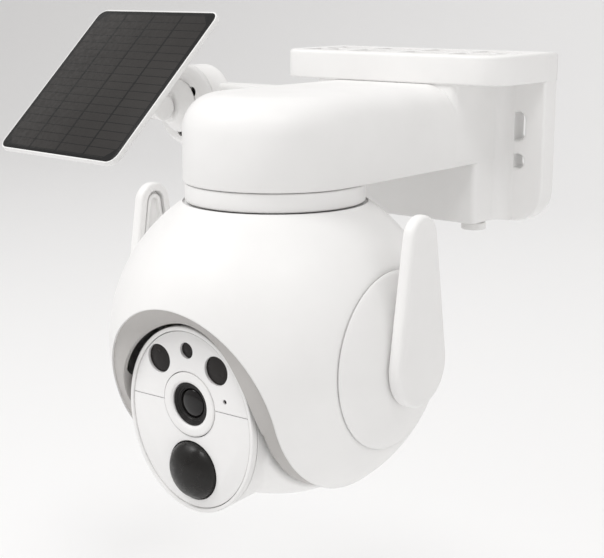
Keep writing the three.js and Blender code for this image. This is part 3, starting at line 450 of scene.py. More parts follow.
def smoked_material(name, colour, roughness, shine, waves=0.1):
    """Dark infrared-passing plastic, glossy, with faint unevenness in its polish."""
    material, tree, shader = new_material(name, colour, roughness)
    shader.inputs["Specular IOR Level"].default_value = shine
    haze = noise(tree, 240, 4)
    tree.links.new(ramp(tree, haze, roughness * 0.7, roughness * 1.5), shader.inputs["Roughness"])
    deep = tuple(c * 0.7 for c in colour)
    tree.links.new(tint(tree, noise(tree, 45), deep, colour), shader.inputs["Base Color"])
    if waves:
        bumped(tree, shader, noise(tree, 130, 2), waves, 0.00004)
    return material


def board_material():
    """Solder mask with copper pours and traces showing through."""
    mask, pour, copper = (0.02, 0.1, 0.05), (0.03, 0.16, 0.08), (0.35, 0.25, 0.08)
    material, tree, shader = new_material("circuit_board", mask, 0.35)
    brick = node(tree, "ShaderNodeTexBrick", Scale=320)
    for name, colour in (("Color1", mask), ("Color2", pour), ("Mortar", copper)):
        brick.inputs[name].default_value = (*colour, 1)
    brick.inputs["Mortar Size"].default_value = 0.01
    tree.links.new(object_place(tree), brick.inputs["Vector"])
    tree.links.new(brick.outputs["Color"], shader.inputs["Base Color"])
    bumped(tree, shader, brick.outputs["Fac"], 0.3, 0.00005)
    return material


def calculate(tree, operation, *values):
    """One Math node on signals or numbers."""
    made = tree.nodes.new("ShaderNodeMath")
    made.operation = operation
    for socket, value in zip(made.inputs, values):
        if isinstance(value, (int, float)):
            socket.default_value = value
        else:
            tree.links.new(value, socket)
    return made.outputs[0]


def lines(tree, coordinate, pitch, width):
    """1 on lines of that width repeated at that pitch along a coordinate, 0 between them."""
    nearest = calculate(tree, "PINGPONG", coordinate, pitch / 2)
    return calculate(tree, "LESS_THAN", nearest, width / 2)


def largest(tree, first, *others):
    for other in others:
        first = calculate(tree, "MAXIMUM", first, other)
    return first


def solar_gaps(tree, across, along):
    """1 on the dark gaps between the cells, along the border and over the cut corners, 0 on the cells."""
    columns, rows, border, corner_cut = 4, 18, 1.6, 7
    column, row = ((PANEL["glass"] - 4) / count * MM for count in (columns, rows))
    edge = PANEL["glass"] / 2 - border
    far_x, far_z = (calculate(tree, "ABSOLUTE", value) for value in (across, along))
    return largest(
        tree,
        lines(tree, across, column, 1.4 * MM),
        lines(tree, along, row, 0.42 * MM),
        calculate(tree, "GREATER_THAN", far_x, edge * MM),
        calculate(tree, "GREATER_THAN", far_z, edge * MM),
        calculate(tree, "GREATER_THAN", calculate(tree, "ADD", far_x, far_z), (2 * edge - corner_cut) * MM),
    )


def solar_material():
    """Dark cells under glass: four columns, thin cross gaps between half cells, and hair-fine fingers."""
    cell_colour, gap_colour = (0.02, 0.018, 0.017), (0.004, 0.004, 0.004)
    finger_colour, mottle_colour = (0.028, 0.025, 0.023), (0.034, 0.031, 0.029)
    material, tree, shader = new_material("solar_glass", cell_colour, 0.3)
    shader.inputs["Specular IOR Level"].default_value = 0.2
    split = tree.nodes.new("ShaderNodeSeparateXYZ")
    tree.links.new(object_place(tree), split.inputs["Vector"])
    across, along = split.outputs["X"], split.outputs["Z"]
    gaps = solar_gaps(tree, across, along)
    fingers = lines(tree, across, 0.9 * MM, 0.16 * MM)
    cells = tint(tree, fingers, cell_colour, finger_colour)
    mottled = tint(tree, ramp(tree, noise(tree, 35, 3), 0.0, 0.35), cells, mottle_colour)
    tree.links.new(tint(tree, gaps, mottled, gap_colour), shader.inputs["Base Color"])
    tree.links.new(ramp(tree, noise(tree, 500, 3), 0.34, 0.46), shader.inputs["Roughness"])
    bumped(tree, shader, gaps, 0.4, 0.00008)
    return material


WHITE = plastic("white_plastic", (0.875, 0.87, 0.862), 0.48)
FACE_WHITE = plastic("face_white", (0.88, 0.875, 0.87), 0.22, grain=500, relief=0.000006, edge=0.0004)
# The liner's mid grey is painted shade: it darkens the recess of the mouth past the shade the lights cast
# there.
LINER_PAINTED_SHADE = plastic("liner_painted_shade", (0.5, 0.485, 0.47), 0.6, relief=0.00003)
BLACK = plastic("lens_black", (0.01, 0.009, 0.0085), 0.4, edge=0.0003, variation=0.003, shine=0.25)
SMOKED = smoked_material("smoked_plastic", (0.02, 0.017, 0.016), 0.2, shine=0.2)
PIR_SMOKED = smoked_material("pir_smoked", (0.01, 0.009, 0.008), 0.3, shine=0.35, waves=0.0)
GLASS = smoked_material("lens_glass", (0.005, 0.004, 0.004), 0.07, shine=0.4, waves=0.0)
STEEL = metal("screw_steel", (0.62, 0.62, 0.63), 0.3)
DARK_STEEL = metal("blackened_steel", (0.12, 0.12, 0.12), 0.4)
MOTOR = metal("motor_can", (0.55, 0.55, 0.56), 0.38)
NYLON = plastic("gear_nylon", (0.76, 0.73, 0.66), 0.5)
RUBBER = rubber_material("rubber", (0.6, 0.59, 0.58))
PALE_RUBBER = rubber_material("pale_rubber", (0.76, 0.755, 0.745))
BOARD = board_material()
CELL = plastic("cell_wrap", (0.03, 0.12, 0.26), 0.3)
SOLAR_GLASS = solar_material()

# ---------------------------------------------------------------- bracket and arm


def wall_hole_outlines():
    """Each side's slot and the round hole under it."""
    half, top, bottom = WALL_HOLE["width"] / 2, WALL_HOLE["slot_top"], WALL_HOLE["slot_bottom"]
    found = []
    for x in (-WALL_HOLE["side"], WALL_HOLE["side"]):
        found.append(rounded_rect(half, (top - bottom) / 2, half, x, (top + bottom) / 2, 12))
        found.append(circle(half, x, WALL_HOLE["low"], 48))
    return found


def screw_holes():
    return [slab("hole", outline, "y", [(0, -20), (0, 5)]) for outline in wall_hole_outlines()]


def countersinks():
    """Shallow bevels at the front rims of the screw holes."""
    bevel, front = 0.7, -BRACKET["plate"]
    stations = [(-bevel, front - 0.1), (0, front + bevel)]
    return [slab("rim", outline, "y", stations) for outline in wall_hole_outlines()]


def roof_rods(radius):
    return [rod("z", 0, 60, radius, side * ROOF_HOLE["side"], ROOF_HOLE["y"]) for side in (-1, 1)]


def roof_pockets():
    """The lattice in the roof's top: pockets between ribs, cut off at the roof's rounded corners."""
    inside = slab("inside", lambda inset: [(x * 0.95, y * 0.95) for x, y in roof_outline(0)], "z",
                  [(0, 0), (0, PLATE_TOP + 5)])
    tools = []
    for column in range(ROOF_POCKET["columns"]):
        for row in range(ROOF_POCKET["rows"]):
            x = (column - (ROOF_POCKET["columns"] - 1) / 2) * ROOF_POCKET["pitch_x"]
            y = -BRACKET["depth"] / 2 - 1 + (row - (ROOF_POCKET["rows"] - 1) / 2) * ROOF_POCKET["pitch_y"]
            outline = rounded_rect(ROOF_POCKET["half_x"], ROOF_POCKET["half_y"], 1.5, x, y, 4)
            floor = PLATE_TOP - ROOF_POCKET["depth"]
            tools.append(slab("pocket", outline, "z", [(0.4, floor), (0, PLATE_TOP + 1)]))
    return cut(common(gathered("pockets", *tools), inside), *roof_rods(ROOF_HOLE["boss"]))


def arm_skin():
    """The arm's shell: round top edge outside, the same shell thickness inside, open below for its cover."""
    steps = 14
    big, small = ARM["round"], ARM["round"] - WALL
    quarter = [math.pi / 2 * i / steps for i in range(steps + 1)]
    top, low = ARM["top"], ARM["bottom"]
    outside = [(big * (1 - math.cos(a)), top - big * (1 - math.sin(a))) for a in quarter]
    inside = [(WALL + small * (1 - math.cos(a)), top - big + small * math.sin(a)) for a in reversed(quarter)]
    rim = [(0, low + 0.8), (0.25, low + 0.25), (0.8, low), (1.6, low), (1.8, low + 0.3), (1.8, low + 2.8)]
    stations = [(big + 8, top), *reversed(outside), *rim, (WALL, low + 2.8), *reversed(inside),
                (big + 8, top - WALL)]
    return slab("arm", arm_outline(-9), "z", stations)


def bracket_housing():
    roof_low = PLATE_TOP - BRACKET["roof"]
    roof = slab("roof", roof_outline, "z", rounded(roof_low, PLATE_TOP, 0.8, 1.4))
    roof = cut(roof, roof_pockets(), *roof_rods(ROOF_HOLE["radius"]))
    plate = slab("plate", plate_outline, "y", rounded(-BRACKET["plate"], 0, 1.4, 0.8))
    pockets = []
    for side in (-1, 1):
        x0, x1 = sorted((side * 13, side * 36))
        for z0, z1 in ((-30, -6), (-3.5, 20)):
            pockets.append(block(x0, x1, -BRACKET["plate"] + 3, 1, z0, z1, 0.8))
    plate = cut(plate, *screw_holes(), *countersinks(), *pockets)
    neck = slab("neck", pillar_outline(-BRACKET["depth"] + 1), "z",
                [(0, ARM["bottom"] + 2), (0, roof_low + 1)])
    foot = -PLATE_TOP + APART
    pillar = slab("pillar", pillar_outline(-ARM["pillar_depth"]), "z",
                  [(1.2, foot), (0.35, foot + 0.35), (0.01, foot + 1.2), (0.01, ARM["bottom"] + 9)])
    pillar = cut(pillar, rod("z", -60, -PLATE_TOP + 6, INLET["radius"], INLET["x"], INLET["y"]))
    return gathered("bracket", roof, plate, combined(pillar, [neck], "UNION"), arm_skin())


def arm_cover():
    low = ARM["bottom"]
    plate = slab("cover", arm_outline(-ARM["pillar_depth"] - 1.3), "z",
                 [(2.5, low), (2.2, low + 0.1), (2.1, low + 0.5), (2.1, low + 2.5)])
    plate = cut(plate, rod("z", -40, 20, 24, 0, PAN_Y, 96))
    screws = []
    for x, y in ((-28, -60), (28, -60), (-28, -40), (28, -40)):
        screws.append(cut(rod("z", low - 0.15, low + 1, 2.2, x, y, 32, 0.3),
                          block(x - 1.5, x + 1.5, y - 0.3, y + 0.3, low - 1, low + 0.5)))
    return gathered("cover", plate, *screws)


def pan_collar():
    top, low = ARM["bottom"] - GAP, COLLAR_LOW
    points = [(22, low), (COLLAR["radius"], low, True), (COLLAR["radius"], top, True), (24, top),
              (24, low + 5.4), (22, low + 5.4)]
    return lathe("collar", round_profile(points, 0.7), "z", 160)


def cable_grommet():
    r, low = INLET["radius"] - GAP, -INLET["lip"]
    points = [(1.9, low, True), (r + 1.6, low, True), (r + 1.6, -GAP, True), (r, -GAP), (r, 2.6), (1.9, 2.6)]
    return lathe("grommet", round_profile(points, 0.8), "z", 64)


def solar_side_arm():
    """A box-section arm from the pillar's flank to a round pad behind the panel's mount."""
    run = slab("run", rounded_rect(5.3, 11.5, 2.5, -23.1, 6.5, 6), "x",
               rounded(SOLAR["x"] + 2, -ARM["radius"] - GAP, 0.6))
    pad = rod("y", GAP, 13, SOLAR["disc"], 0, 0, 96, 1.2)
    pad.data.transform(SOLAR_AT)
    return gathered("side_arm", run, pad)


piece(bracket_housing(), "bracket_body", "bracket", ROW, WHITE, ["bracket_housing"])
piece(arm_cover(), "arm_underside", "bracket", ROW, WHITE, ["arm_cover"])
piece(pan_collar(), "collar_ring", "bracket", PAN, WHITE, ["pan_collar"])
piece(cable_grommet(), "inlet_grommet", "bracket", shift(INLET["x"], INLET["y"], -PLATE_TOP), PALE_RUBBER,
      ["cable_grommet"])
piece(solar_side_arm(), "side_arm", "bracket", ROW, WHITE, ["solar_side_arm"])

# ---------------------------------------------------------------- globe


def sphere_arc(radius, start, end, steps):
    """(radius, height) points on a sphere between two heights along the turning axis."""
    a, b = math.acos(start / radius), math.acos(end / radius)
    turns = [a + (b - a) * i / steps for i in range(steps + 1)]
    return [(radius * math.sin(t), radius * math.cos(t)) for t in turns]


def globe_band():
    half = GLOBE["seam"] - SEAM / 2
    inner = GLOBE["radius"] - WALL
    rim = math.sqrt(GLOBE["radius"] ** 2 - half ** 2)
    outer = sphere_arc(GLOBE["radius"], half - 0.3, -half + 0.3, 96)
    profile = [(rim - 0.3, half), *outer, (rim - 0.3, -half), *sphere_arc(inner, -half, half, 48)]
    return lathe("band", profile, "x", 192)


def mouth_tools():
    """Seen from the front the mouth is an arch over straight sides, and from below it ends in an arch."""
    r = MOUTH["radius"]
    steps = 64
    front = [(-r, -90), (r, -90), *arc(0, MOUTH["centre_z"], r, 0, 180, steps)]
    end_y = -GLOBE["radius"] * math.cos(math.radians(MOUTH["end"]))
    wide = r + 0.02
    below = [(-wide, -91), (wide, -91), *arc(0, end_y - r, wide, 0, 180, steps)]
    return [slab("below", lambda inset: below, "z", [(0, -91), (0, MOUTH["centre_z"] + 0.02)]),
            slab("front", lambda inset: front, "y", [(0, -90), (0, 0)])]


def globe_shell():
    shell = cut(globe_band(), *mouth_tools(), block(-80, 80, GLOBE["rear_seam"] - GAP / 2, 90, -80, 80),
                rod("z", 40, 90, GLOBE["neck_hole"], 0, 0, 160))
    deck = lathe("deck", [(13.6, 52.8), (GLOBE["neck_hole"] + 0.6, 52.8), (GLOBE["neck_hole"] + 0.6, 55.4),
                          (13.6, 55.4)], "z", 96)
    return gathered("shell", shell, deck)


def liner_side(side, skin, rim):
    """Stations (rim point, lip point) from the mouth's rear end forward along one side."""
    side_lip, end_y = LINER_LIP["side_reach"], 20
    end = -GLOBE["radius"] * math.cos(math.radians(MOUTH["end"]))
    stations = []
    behind = 16
    for i in range(behind):
        y = end_y * (1 - i / behind)
        past = max(0, y - end + MOUTH["radius"])
        x = math.sqrt(rim ** 2 - past ** 2)
        stations.append(((side * x, y, -math.sqrt(skin ** 2 - x * x - y * y)),
                         (side * min(LINER_LIP["half_width"], x - 1), y, -math.sqrt(side_lip ** 2 - y * y))))
    side_rim = math.sqrt(skin ** 2 - rim ** 2)
    rim_start = math.asin(-MOUTH["centre_z"] / side_rim)
    lip_start = math.asin(-LINER_LIP["centre_z"] / side_lip)
    below = 20
    for i in range(below):
        t = i / below
        a = math.pi / 2 + (rim_start - math.pi / 2) * t
        b = math.pi / 2 + (lip_start - math.pi / 2) * t
        stations.append(((side * rim, -side_rim * math.cos(a), -side_rim * math.sin(a)),
                         (side * LINER_LIP["half_width"], -side_lip * math.cos(b), -side_lip * math.sin(b))))
    return stations


def liner_arch(skin, rim):
    steps, side_lip, top_lip = 64, LINER_LIP["side_reach"], LINER_LIP["top_reach"]
    stations = []
    for i in range(steps + 1):
        a = math.pi * (1 - i / steps)
        x, z = rim * math.cos(a), MOUTH["centre_z"] + rim * math.sin(a)
        lip_x = LINER_LIP["half_width"] * math.cos(a)
        lip_z = LINER_LIP["centre_z"] + LINER_LIP["height"] * math.sin(a)
        reach = side_lip + (top_lip - side_lip) * math.sqrt(max(math.sin(a), 0))
        stations.append(((x, -math.sqrt(skin ** 2 - x * x - z * z), z),
                         (lip_x, -math.sqrt(reach ** 2 - lip_z ** 2), lip_z)))
    return stations


def recess_liner():
    """The rim tucks into the shell's edge. The lip runs beside the head, deep only where it clears it."""
    skin, rim = GLOBE["radius"] - 0.5, MOUTH["radius"] + 0.3
    thin, deep, clear_of_head = 1.8, 9, HEAD["half_width"] + 0.3
    stations = liner_side(-1, skin, rim) + liner_arch(skin, rim) + liner_side(1, skin, rim)[::-1]

    def inwards(point, depth):
        x, y, z = point
        r = math.hypot(y, z)
        return (x, y * (r - depth) / r, z * (r - depth) / r)

    loops = []
    for edge, lip in stations:
        beside = (abs(lip[0]) - clear_of_head) / (LINER_LIP["half_width"] - clear_of_head)
        depth = thin + (deep - thin) * min(max(beside, 0), 1)
        loops.append([edge, lip, inwards(lip, depth), inwards(edge, thin)])
    return loft("liner", loops)


PORT = {"half_width": 18, "half_height": 8.5, "floor": 60.4}
CONTROL = {"power": -11, "reset": -3.5, "usb": 5, "card": 12.5, "radius": 2.4, "reset_radius": 1.5}


def port_pocket():
    return slab("pocket", rounded_rect(PORT["half_width"], PORT["half_height"], 3), "y",
                [(0, PORT["floor"]), (0, 80)])


def rear_cover():
    start = GLOBE["rear_seam"] + GAP / 2
    inner = GLOBE["radius"] - WALL
    profile = [*sphere_arc(GLOBE["radius"], start + 0.3, GLOBE["radius"], 40),
               *reversed(sphere_arc(inner, start, inner, 30))]
    skin = lathe("skin", profile, "z", 160)
    skin.data.transform(turn(-90, "X"))
    tray = slab("tray", rounded_rect(PORT["half_width"] + WALL, PORT["half_height"] + WALL, 4), "y",
                [(0, PORT["floor"] - WALL), (0, 64)])
    pocket, pocket_too = port_pocket(), port_pocket()
    low, high = 50, 70
    holes = [
        rod("y", low, high, CONTROL["radius"] + GAP, CONTROL["power"]),
        rod("y", low, high, CONTROL["reset_radius"] + GAP, CONTROL["reset"]),
        slab("usb", rounded_rect(4, 1.7, 1.6, CONTROL["usb"] - 0.6), "y", [(0, low), (0, high)]),
        slab("card", rounded_rect(2.2, 6, 0.4, CONTROL["card"]), "y", [(0, low), (0, high)]),
    ]
    tray = cut(common(tray, ball(GLOBE["radius"] - 0.5)), pocket_too, *holes)
    return gathered("rear", cut(skin, pocket), tray)


def port_flap():
    """A tile of the globe's own surface, with a finger notch at its upper edge."""
    outline = rounded_rect(PORT["half_width"] - GAP, PORT["half_height"] - GAP, 2.6, 0, 0, 8)
    outer, inner = GLOBE["radius"] - 0.2, GLOBE["radius"] - 2
    insets = [0.35, 0.8, 1.6, 2.4, 4, 6, 7.8]

    def sheet(radius, inset):
        return [(x, math.sqrt(radius ** 2 - x * x - z * z), z) for x, z in outline(inset)]

    loops = [sheet(inner, i) for i in reversed(insets)] + [sheet(inner, 0), sheet(outer - 0.35, 0)]
    loops += [sheet(outer, i) for i in insets]
    flap = loft("flap", loops)
    notch = slab("notch", rounded_rect(6, 1.2, 1.1, 0, PORT["half_height"] - 1.5), "y", [(0, 66.4), (0, 80)])
    return cut(flap, notch)


def button(radius, x):
    back = PORT["floor"] - WALL
    return gathered("button", rod("y", back - 1.6, PORT["floor"] + 0.8, radius, x, 0, 48, 0.35),
                    rod("y", back - 1.6, back - 0.7, radius + 0.8, x, 0, 48))


def side_cap():
    """The cap over the antenna's pivot, turned about X, with a soft rim at the seam."""
    start, inner = GLOBE["seam"] + SEAM / 2, GLOBE["radius"] - WALL
    profile = [*sphere_arc(GLOBE["radius"], start + 0.35, GLOBE["pole"], 14), (5.4, GLOBE["pole"]),
               (5.4, GLOBE["pole"] - WALL), *sphere_arc(inner, GLOBE["pole"] - WALL, start, 6)]
    rim = math.sqrt(GLOBE["radius"] ** 2 - start ** 2) - 0.35
    return lathe("cap", [*profile, (rim, start)], "x", 160)


def mirror_x(obj):
    obj.data.transform(Matrix.Scale(-1, 4, (1, 0, 0)))
    obj.data.flip_normals()
    return obj


piece(globe_shell(), "globe_body", "globe", GLOBE_AT, WHITE, ["globe_shell"])
# The liner takes the painted-shade grey that darkens the mouth's recess.
piece(recess_liner(), "mouth_liner", "globe", GLOBE_AT, LINER_PAINTED_SHADE, ["recess_liner"], 50)
piece(rear_cover(), "rear_cover", "globe", GLOBE_AT, WHITE, ["globe_rear_cover"])
piece(side_cap(), "cap_left", "globe", GLOBE_AT, WHITE, ["side_cap_left"])
piece(mirror_x(side_cap()), "cap_right", "globe", GLOBE_AT, WHITE, ["side_cap_right"])
piece(port_flap(), "flap", "port_flap", GLOBE_AT, RUBBER, ["port_flap"])
piece(button(CONTROL["radius"], CONTROL["power"]), "button_power", "power_button", GLOBE_AT, RUBBER,
      ["power_button"])
piece(button(CONTROL["reset_radius"], CONTROL["reset"]), "button_reset", "reset_button", GLOBE_AT, RUBBER,
      ["reset_button"])

# ---------------------------------------------------------------- head


def head_ellipse(inset=0.0):
    return ellipse(HEAD["half_width"] - inset, HEAD["half_height"] - inset, -HEAD["drop"])


def head_housing():
    """An elliptical turret that flows into a ball-shaped belly, bored out from the front."""
    start, end = FACE_BACK + GAP, 8
    tube = slab("tube", head_ellipse(), "y", [(0, start - 3), (0, end)])
    slope = math.radians(HEAD["end"] - 90)
    belly = ball(HEAD["ball"])
    planes = [((HEAD["slab"], 0, 0), (1, 0, 0)),
              ((-HEAD["slab"], 0, 0), (-1, 0, 0)),
              ((0, -44, 0), (0, -1, 0)),
              ((0, 0, -HEAD["drop"]), (0, 0, 1)),
              ((0, 0, 0), (0, math.cos(slope), math.sin(slope)))]
    for point, outwards in planes:
        belly = sliced(belly, point, outwards)
    body = sliced(melted(gathered("head", tube, belly), 0.8, 8), (0, start, 0), (0, -1, 0), closed=False)
    rim = slab("rim", head_ellipse(), "y",
               [(0.02, start), (0.02, start + 1), (WALL, start + 4), (WALL, start)], closed=True)
    return gathered("head", body, rim)


def head_bezel():
    low, high = -HEAD["face"] - 0.4, FACE_BACK
    stations = [(0.35, low), (0.1, low + 0.1), (0, low + 0.4), (0, high), (BEZEL, high), (BEZEL, low + 0.35),
                (BEZEL - 0.1, low + 0.1), (BEZEL - 0.35, low)]
    return slab("bezel", head_ellipse(), "y", stations, closed=True)


def face_plate(upper):
    inset = BEZEL + GAP
    front, back = -HEAD["face"], FACE_BACK - 0.1
    plate = slab("plate", head_ellipse(inset), "y",
                 [(0.25, front), (0.07, front + 0.07), (0, front + 0.25), (0, back)])
    seam = -LENS["drop"]
    away = -1 if upper else 1
    plate = sliced(plate, (0, 0, seam - away * GAP / 2), (0, 0, away))
    tools = [rod("y", -70, -40, LENS["ring"] + GAP, 0, -LENS["drop"], 128)]
    if upper:
        for side in (-1, 1):
            tools.append(rod("y", -70, -40, LAMP["radius"], side * LAMP["side"], LAMP["rise"], 96))
        tools.append(rod("y", -70, -40, DAY_SENSOR["radius"], 0, DAY_SENSOR["rise"], 64))
        tools.append(rod("y", -70, -40, MIC["radius"], MIC["side"], -MIC["drop"], 32))
    else:
        tools.append(rod("y", -70, -40, PIR["radius"] + GAP, 0, -PIR["drop"], 128))
    return cut(plate, *tools)


def window(radius, x, z):
    """A smoked disc standing in its hole, a little below the face."""
    return rod("y", -HEAD["face"] + 0.9, FACE_BACK + 1.8, radius - 0.1, x, z, 96, 0.2)


def lens_ring():
    f = HEAD["face"]
    ring, barrel = LENS["ring"], LENS["barrel"]
    points = [(barrel + GAP, 44), (ring - 2, 44), (ring - 2, 47), (ring, 47), (ring, f + 0.5, True),
              (barrel + 1, f + 0.5, True), (barrel + 0.2, f - 0.2)]
    return lathe("ring", round_profile(points, 0.7), "y", 160)


def lens_barrel():
    """Stepped black baffles that close in on the glass."""
    f, low = LENS["front"], LENS["front"] - LENS["seat"]
    barrel, glass = LENS["barrel"], LENS["glass"]
    points = [(0, 31), (7, 31), (7, 40), (barrel, 40), (barrel, f, True), (barrel - 0.7, f, True),
              (barrel - 0.8, f - 0.3), (barrel - 1.3, f - 0.3, True), (barrel - 1.4, f - 0.7),
              (glass + 0.9, f - 0.7, True), (glass + 0.7, f - 1.1), (glass + GAP, f - 1.3),
              (glass + GAP, low), (0, low)]
    return lathe("barrel", round_profile(points, 0.2), "y", 128)


def lens_glass():
    f = LENS["front"] - LENS["seat"] + GAP
    crown = [(LENS["glass"] * math.cos(a), f + 1 + 1.6 * math.sin(a))
             for a in (math.pi / 2 * i / 16 for i in range(16, -1, -1))]
    return lathe("glass", [*crown, (LENS["glass"], f), (0, f)], "y", 96)


def pir_dome():
    f = HEAD["face"]
    steps = 28
    outer = [(PIR["radius"] * math.cos(a), f - 1 + (PIR["rise"] + 1) * math.sin(a))
             for a in (math.pi / 2 * (1 - i / steps) for i in range(steps + 1))]
    inner_radius = PIR["radius"] - 1.4
    inner = [(inner_radius * math.cos(a), f - 1 + (PIR["rise"] - 0.4) * math.sin(a))
             for a in (math.pi / 2 * i / 12 for i in range(13))]
    return lathe("dome", [*outer, (PIR["radius"], f - 3.4), (inner_radius, f - 3.4), *inner], "y", 128)


def facing_front(obj, drop):
    """A part turned about Y is drawn with its front towards +Y; this faces it to the front, at its drop."""
    obj.data.transform(shift(0, 0, -drop) @ turn(180, "Z"))
    return obj


piece(head_housing(), "head_body", "head", HEAD_AT, WHITE, ["head_housing"], sharp=50)
piece(head_bezel(), "bezel", "head", HEAD_AT, WHITE, ["head_bezel"])
piece(face_plate(True), "face_upper", "head", HEAD_AT, FACE_WHITE, ["face_plate_upper"])
piece(face_plate(False), "face_lower", "head", HEAD_AT, FACE_WHITE, ["face_plate_lower"])
for side_name, side in (("left", 1), ("right", -1)):
    piece(window(LAMP["radius"], side * LAMP["side"], LAMP["rise"]), f"window_{side_name}", "head", HEAD_AT,
          SMOKED, [f"lamp_window_{side_name}"])
piece(window(DAY_SENSOR["radius"], 0, DAY_SENSOR["rise"]), "window_sensor", "head", HEAD_AT, SMOKED,
      ["day_sensor_window"])
piece(rod("y", -HEAD["face"] + 0.7, FACE_BACK, MIC["radius"], MIC["side"], -MIC["drop"]), "microphone_mesh",
      "head", HEAD_AT, BLACK)
piece(facing_front(lens_ring(), LENS["drop"]), "ring", "head", HEAD_AT, WHITE, ["lens_ring"])
piece(facing_front(lens_barrel(), LENS["drop"]), "barrel", "head", HEAD_AT, BLACK,
      ["lens_barrel"], 30)
piece(facing_front(lens_glass(), LENS["drop"]), "front_glass", "head", HEAD_AT, GLASS,
      ["lens_glass"])
piece(facing_front(pir_dome(), PIR["drop"]), "motion_dome", "head", HEAD_AT, PIR_SMOKED,
      ["pir_dome"])

# ---------------------------------------------------------------- antennas


def antenna_shell():
    """A flat paddle with soft edges, and on the globe's side a raised border round a pocket."""
    x0, x1 = PADDLE["inner"], PADDLE["inner"] + PADDLE["thickness"]
    outside = rounded(x0, x1, 1.3, 2.2, 6)
    stations = [(3.6, x0 + 3.2), (3.6, x0 + 0.4), (3.3, x0 + 0.05), *outside, (3.4, x1), (5.5, x1)]
    shell = slab("paddle", paddle_outline, "x", stations)
    pivot = rod("x", x0 - 7.5, x0 + 4, 5, 0, 0, 64)
    return gathered("antenna", shell, pivot)


def antenna_insert():
    x0, x1 = PADDLE["inner"] + 0.8, PADDLE["inner"] + 2.9
    stations = [(7.2, x0 + 1.3), (6.9, x0 + 1.2), (6.8, x0 + 0.4), (6.5, x0), (5.2, x0), (4.9, x0 + 0.15),
                (4.8, x0 + 0.5), (4.8, x1)]
    return cut(slab("insert", paddle_outline, "x", stations), rod("x", x0 - 2, x1 + 2, 5.3, 0, 0, 64))


piece(antenna_shell(), "paddle_left", "antenna_left", GLOBE_AT, WHITE, ["antenna_left"])
piece(antenna_insert(), "paddle_left_insert", "antenna_left", GLOBE_AT, WHITE, ["antenna_left_insert"])
piece(mirror_x(antenna_shell()), "paddle_right", "antenna_right", GLOBE_AT, WHITE, ["antenna_right"])
piece(mirror_x(antenna_insert()), "paddle_right_insert", "antenna_right", GLOBE_AT, WHITE,
      ["antenna_right_insert"])

# ---------------------------------------------------------------- solar panel and its mount
SCREW_TURNS = (35, 155, 275)
SCREW_REACH = 12.8


def screw_places():
    angles = [math.radians(a) for a in SCREW_TURNS]
    return [(SCREW_REACH * math.cos(a), SCREW_REACH * math.sin(a)) for a in angles]


def base_disc():
    d = SOLAR["depth"]
    points = [(5.4, -d, True), (SOLAR["face"], -d, True), (SOLAR["disc"], -2.4, True), (SOLAR["disc"], 0),
              (5.4, 0)]
    disc = lathe("disc", round_profile([(r, -h, *flag) for r, h, *flag in points], 0.9), "y", 128)
    disc.data.transform(turn(180, "Z"))
    tools = []
    for x, z in screw_places():
        tools.append(rod("y", -20, 20, 2, x, z))
        tools.append(rod("y", -20, -d + 2.4, 2.5, x, z))
    return cut(disc, *tools)


def base_screw(x, z):
    d = SOLAR["depth"]
    head_part = rod("y", -d + 0.9, -d + 2.1, 2.2, x, z, 48, 0.4)
    slots = [block(x - 1.5, x + 1.5, -d - 1, -d + 1.6, z - 0.3, z + 0.3),
             block(x - 0.3, x + 0.3, -d - 1, -d + 1.6, z - 1.5, z + 1.5)]
    return gathered("screw", cut(head_part, *slots), rod("y", -d + 1.6, -0.2, 1.6, x, z, 32))


def solar_hub():
    """A round foot that flows into the tongue between the fork's cheeks."""
    d, knuckle = SOLAR["depth"], SOLAR["knuckle"]
    tongue = FORK["tongue"]
    cone = slab("cone", circle(13.5, 0, 0, 96), "y",
                [(5.6, -d - 7), (4.2, -d - 5), (1.6, -d - 2.2), (0, -d - GAP)])
    eye = slab("eye", circle(FORK["eye"], -knuckle, 0, 64), "x", [(0, -tongue), (0, tongue)])
    neck = block(-tongue, tongue, -knuckle, -d - 3, -FORK["eye"] + 0.2, FORK["eye"] - 0.2)
    spigot = rod("y", -d - 1, -1, 5, 0, 0, 64)
    return gathered("hub", melted(gathered("hub", cone, eye, neck), 0.4, 5), spigot)


def hinge_pin():
    return rod("x", PIN["start"], PIN["end"], PIN["radius"], -SOLAR["knuckle"], 0, 48, 0.3)


def solar_stem():
    """A round-ended fork and bar in one smooth piece, with a flange square to the panel."""
    x, radius, length = FORK["outer"], STEM["radius"], STEM["length"]
    lean = turn(STEM["rise"] - PANEL["lean"], "X")
    eye = rod("x", -x, x, radius, 0, 0, 64, 0.6)
    bar = slab("bar", circle(radius, 0, 0, 64), "y", [(0, -length), (0, 0)])
    bar = common(bar, block(-x, x, -90, 90, -90, 90))
    flange = rod("y", -FORK["flange"], 0.2, 10, 0, 0, 96)
    flange.data.transform(shift(0, -length, 0) @ lean)
    body = melted(gathered("stem", eye, bar, flange), 0.4, 6)
    past = block(-30, 30, -60, -FORK["flange"], -60, 60)
    past.data.transform(shift(0, -length, 0) @ lean)
    slot = slab("slot", circle(FORK["room"], 0, 0, 64), "x", [(0, -FORK["gap"]), (0, FORK["gap"])])
    way_out = block(-FORK["gap"] + 0.01, FORK["gap"] - 0.01, 0, 20, -9, 9)
    return cut(body, past, slot, way_out, rod("x", -20, PIN["end"] + GAP, PIN["radius"] + GAP))


def panel_socket():
    back = -PANEL["standoff"] + PANEL["thickness"]
    points = [(0, 3.1), (12.5, 3.1, True), (14, -back - GAP, True), (0, -back - GAP)]
    socket = lathe("socket", round_profile(points, 0.8), "y", 96)
    socket.data.transform(turn(180, "Z"))
    return socket


